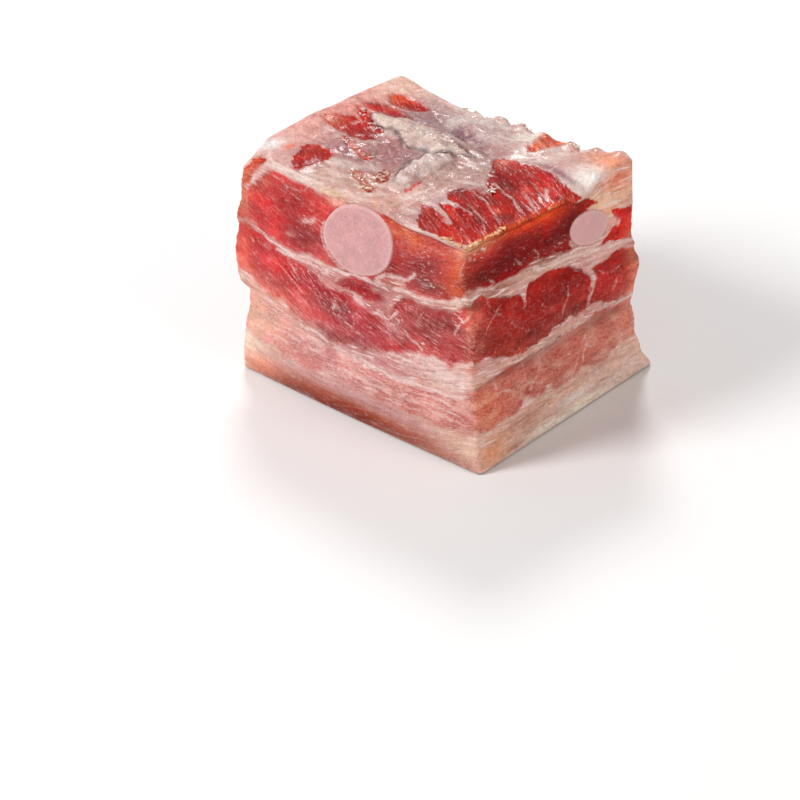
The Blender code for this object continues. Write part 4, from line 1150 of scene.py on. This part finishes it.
def meatMaterial():
    # lean where its field, frayed by noise, is over 0, else fat; strands, painted glints and rind over both
    material, shader = newMaterial("curedMeat")
    place, fibrePlace = value("fleshSpace", 1), value("fibreSpace", 1)
    lean, strand = value("lean"), value("strand")
    leanTone, fatTone = value("leanTone", 0), value("fatTone", 0)
    shortFibre = calc3(fibrePlace, (1.6, 1.0, 1.0))
    fibres = useGroup("fibre", {"Vector": shortFibre, "Contrast": value("contrast")})
    fray = calc("SUBTRACT", noise(fibrePlace, 1.5, 3.0, 0.6), 0.5)
    ragged = timesPlus(calc("SUBTRACT", noise(place, 1.6, 3.0, 0.6), 0.5), 0.7, fray)
    edge = timesPlus(ragged, 1.6, lean)
    isLean = ramp(calc("DIVIDE", edge, value("blur")), -1.0, 1.0)
    deep = blend(1.0, leanTone, (0.66, 0.27, 0.30, 1.0), "MULTIPLY")
    bright = blend(1.0, leanTone, (1.08, 1.7, 1.7, 1.0), "MULTIPLY")
    bright = blend(1.0, bright, colourOf((238, 156, 142)), "DARKEN")
    body = blend(ramp(fibres["Tone"], 0.25, 0.5), deep, leanTone)
    body = blend(ramp(fibres["Tone"], 0.5, 0.85), body, bright)
    streak = times(fibres["Streak"], value("streaky"))
    body = blend(streak, body, blend(0.8, leanTone, colourOf((238, 186, 182))))
    grit = noise(calc3(fibrePlace, (4.5, 1.2, 1.3)), 2.6, 3.0, 0.65)
    body = blend(ramp(grit, 0.50, 0.34, 0.0, 0.68), body, deep)
    pale = blend(1.0, leanTone, (1.10, 3.0, 3.0, 1.0), "MULTIPLY")
    pale = blend(1.0, pale, colourOf((244, 184, 176)), "DARKEN")
    paleShare = times(ramp(grit, 0.52, 0.68), timesPlus(value("streaky"), 0.9, 0.17))
    body = blend(paleShare, body, pale)
    maze = noise(place, 0.38, 3.0, 0.6)
    vein = ramp(calc("ABSOLUTE", calc("SUBTRACT", maze, 0.5)), 0.0, 0.018, 1.0, 0.0)
    body = blend(times(vein, value("veiny")), body, blend(0.45, leanTone, colourOf((226, 160, 150))))
    fat = mottled(place, fatTone, 0.8, 0.20)
    strata = value("strataSpace", 1)
    red = ramp(noise(strata, 0.9, 4.0, 0.65), 0.42, 0.66)
    fat = blend(times(red, value("blush")), fat, colourOf(meatColours["blush"]))
    dark = ramp(noise(strata, 1.7, 3.0, 0.6), 0.50, 0.34)
    fat = blend(times(dark, value("threads")), fat,
                blend(1.0, fat, (0.80, 0.62, 0.60, 1.0), "MULTIPLY"))
    thread = ramp(noise(strata, 1.5, 3.0, 0.65), 0.52, 0.64)
    fat = blend(times(thread, value("threads")), fat, colourOf(meatColours["strand"]))
    colour = blend(isLean, fat, body)
    isStrand = ramp(timesPlus(ragged, 0.9, strand), -0.40, 0.30, 0.0, 0.75)
    colour = blend(isStrand, colour, colourOf(meatColours["strand"]))
    gleam = value("gleam")
    # painted highlights: near-white specks on wet flesh, standing in for glints, strongest where gleam is
    # high
    spark = timesPlus(gleam, 0.12, noise(calc3(fibrePlace, (4.5, 1.2, 1.0)), 1.9, 2.0, 0.5))
    paintedGlints = times(ramp(spark, 0.63, 0.72), timesPlus(gleam, 0.8, 0.12))
    colour = blend(paintedGlints, colour, colourOf((250, 226, 220)))
    pores = ramp(noise(place, 1.9, 3.0, 0.6), 0.4, 0.62)
    rindTone = blend(pores, colourOf(meatColours["rindDark"]), colourOf(meatColours["rind"]))
    colour = blend(value("rind"), colour, rindTone)
    colour = mottled(place, colour, 2.3, 0.19)
    film = wetFilm(place, 0.46, 0.24, value("cover"), gleam)
    grain = timesPlus(fibres["Tone"], isLean, times(film["Height"], 0.8))
    grain = timesPlus(noise(place, 3.0, 3.0, 0.65), 0.9, grain)
    fold = noise(place, 0.95, 4.0, 0.6)
    grain = timesPlus(fold, times(value("wrinkle"), 2.8), grain)
    setShader(shader, film, grain, 0.36, colour, 1.0, 0.2)
    return material


def cartilageMaterial():
    # pink gristle, paler to its far end, with faint scratches and a painted highlight as a pale ring near its
    # rim
    material, shader = newMaterial("ribGristle")
    place = objectPlace()
    rim = value("rim")
    tone = mottled(place, colourOf((203, 151, 151)), 0.35, 0.12)
    tone = mottled(place, tone, 2.4, 0.20)
    tone = blend(times(value("far"), 0.5), tone, colourOf((222, 178, 176)))
    scratch = noise(calc3(place, (0.30, 0.5, 2.6)), 0.9, 3.0, 0.55)
    tone = blend(ramp(scratch, 0.64, 0.72, 0.0, 0.25), tone, colourOf((244, 214, 210)))
    # painted highlight: a pale ring just inside the rim
    tone = blend(ramp(rim, 0.86, 0.95, 0.0, 0.30), tone, colourOf((240, 206, 200)))
    tone = blend(ramp(rim, 0.97, 1.0, 0.0, 0.5), tone, colourOf((216, 140, 130)))
    film = wetFilm(place, 0.42, 0.26, 0.5)
    setShader(shader, film, noise(place, 1.4, 2.0, 0.5), 0.08, tone, 1.6, 0.35)
    return material


def membraneMaterial():
    # loose bits, each in its own tone, under the same wet film
    material, shader = newMaterial("tornMembrane")
    place = objectPlace()
    tone = mottled(place, value("tone", 0), 0.7, 0.12)
    film = wetFilm(place, 0.42, 0.20, 0.6)
    setShader(shader, film, noise(place, 2.2, 3.0, 0.6), 0.20, tone, 1.0, 0.25)
    return material


groups = {"fibre": fibreGroup(), "film": filmGroup(), "mottle": mottleGroup()}
print("node groups made")
meat = makeMeat()
meat.data.materials.append(meatMaterial())
print("meat block made:", len(meat.data.polygons), "squares")
cartilage = makeCartilage()
cartilage.data.materials.append(cartilageMaterial())
print("cartilage made")
makeCrumbs().data.materials.append(membraneMaterial())
print("crumbs made")

# The camera stands as the photograph's did, measured from the block's front right edge
cameraFit = {"azimuth": 46.893, "elevation": 30.826, "roll": 3.7406, "distance": 550.22, "right": 13.462,
             "up": 7.048, "aimHeight": 23.0, "lens": 135.0, "sensor": 36.0, "nearest": 0.01}
studio = {
    "floorSize": 3.0,
    "floorTone": (0.88, 0.88, 0.88),
    "floorRoughness": 0.7,
    "worldTone": (1.0, 1.0, 1.0),
    "worldStrength": 0.36,
    "aim": (0, 0, 0.02),
    "lamps": {   # place in metres, size in metres, watts, tone
        "keyLamp": ((-0.45, -0.85, 0.80), 0.45, 10.8, (1.0, 1.0, 1.0)),
        "topLamp": ((-0.55, 0.55, 0.78), 0.28, 4.8, (1.0, 1.0, 1.0)),
        "rightLamp": ((0.95, 0.10, 0.55), 0.50, 2.9, (1.0, 0.90, 0.83)),
    },
}


def makeCamera():
    # looks along an azimuth and elevation, rolled, from a place carried left and down
    az, el, roll = (np.radians(cameraFit[name]) for name in ("azimuth", "elevation", "roll"))
    forward = -np.array([np.sin(az) * np.cos(el), -np.cos(az) * np.cos(el), np.sin(el)])
    right = np.cross(forward, [0, 0, 1.0])
    right /= np.linalg.norm(right)
    up = np.cross(right, forward)
    right, up = np.cos(roll) * right - np.sin(roll) * up, np.sin(roll) * right + np.cos(roll) * up
    aim = np.array([width, 0.0, cameraFit["aimHeight"]]) + toFrame
    place = aim - cameraFit["right"] * right - cameraFit["up"] * up - cameraFit["distance"] * forward
    lens = bpy.data.cameras.new("photoCamera")
    lens.lens, lens.sensor_width = cameraFit["lens"], cameraFit["sensor"]
    lens.clip_start = cameraFit["nearest"]
    camera = bpy.data.objects.new("photoCamera", lens)
    turn = Matrix((right, up, -forward)).transposed().to_4x4()
    camera.matrix_world = Matrix.Translation(Vector(place * mm)) @ turn
    bpy.context.scene.collection.objects.link(camera)
    bpy.context.scene.camera = camera


def makeStudio():
    # a pale floor, soft lamps aimed at the block and an even white world
    half = studio["floorSize"] / 2
    mesh = bpy.data.meshes.new("paleFloor")
    corners = [(-half, -half, 0), (half, -half, 0), (half, half, 0), (-half, half, 0)]
    mesh.from_pydata(corners, [], [(0, 1, 2, 3)])
    floor = bpy.data.objects.new("paleFloor", mesh)
    bpy.context.scene.collection.objects.link(floor)
    material, shader = newMaterial("paleFloor")
    shader.inputs["Base Color"].default_value = (*studio["floorTone"], 1.0)
    shader.inputs["Roughness"].default_value = studio["floorRoughness"]
    mesh.materials.append(material)
    for name, (place, size, watts, tone) in studio["lamps"].items():
        lamp = bpy.data.lights.new(name, "AREA")
        lamp.shape, lamp.size, lamp.energy, lamp.color = "DISK", size, watts, tone
        holder = bpy.data.objects.new(name, lamp)
        holder.location = place
        holder.rotation_euler = (Vector(studio["aim"]) - Vector(place)).to_track_quat("-Z", "Y").to_euler()
        bpy.context.scene.collection.objects.link(holder)
    world = bpy.data.worlds.new("studio")
    world.use_nodes = True
    sky = world.node_tree.nodes["Background"]
    sky.inputs["Color"].default_value = (*studio["worldTone"], 1.0)
    sky.inputs["Strength"].default_value = studio["worldStrength"]
    bpy.context.scene.world = world
    bpy.context.scene.view_settings.view_transform = "Standard"


makeCamera()
makeStudio()
print("camera and studio set")
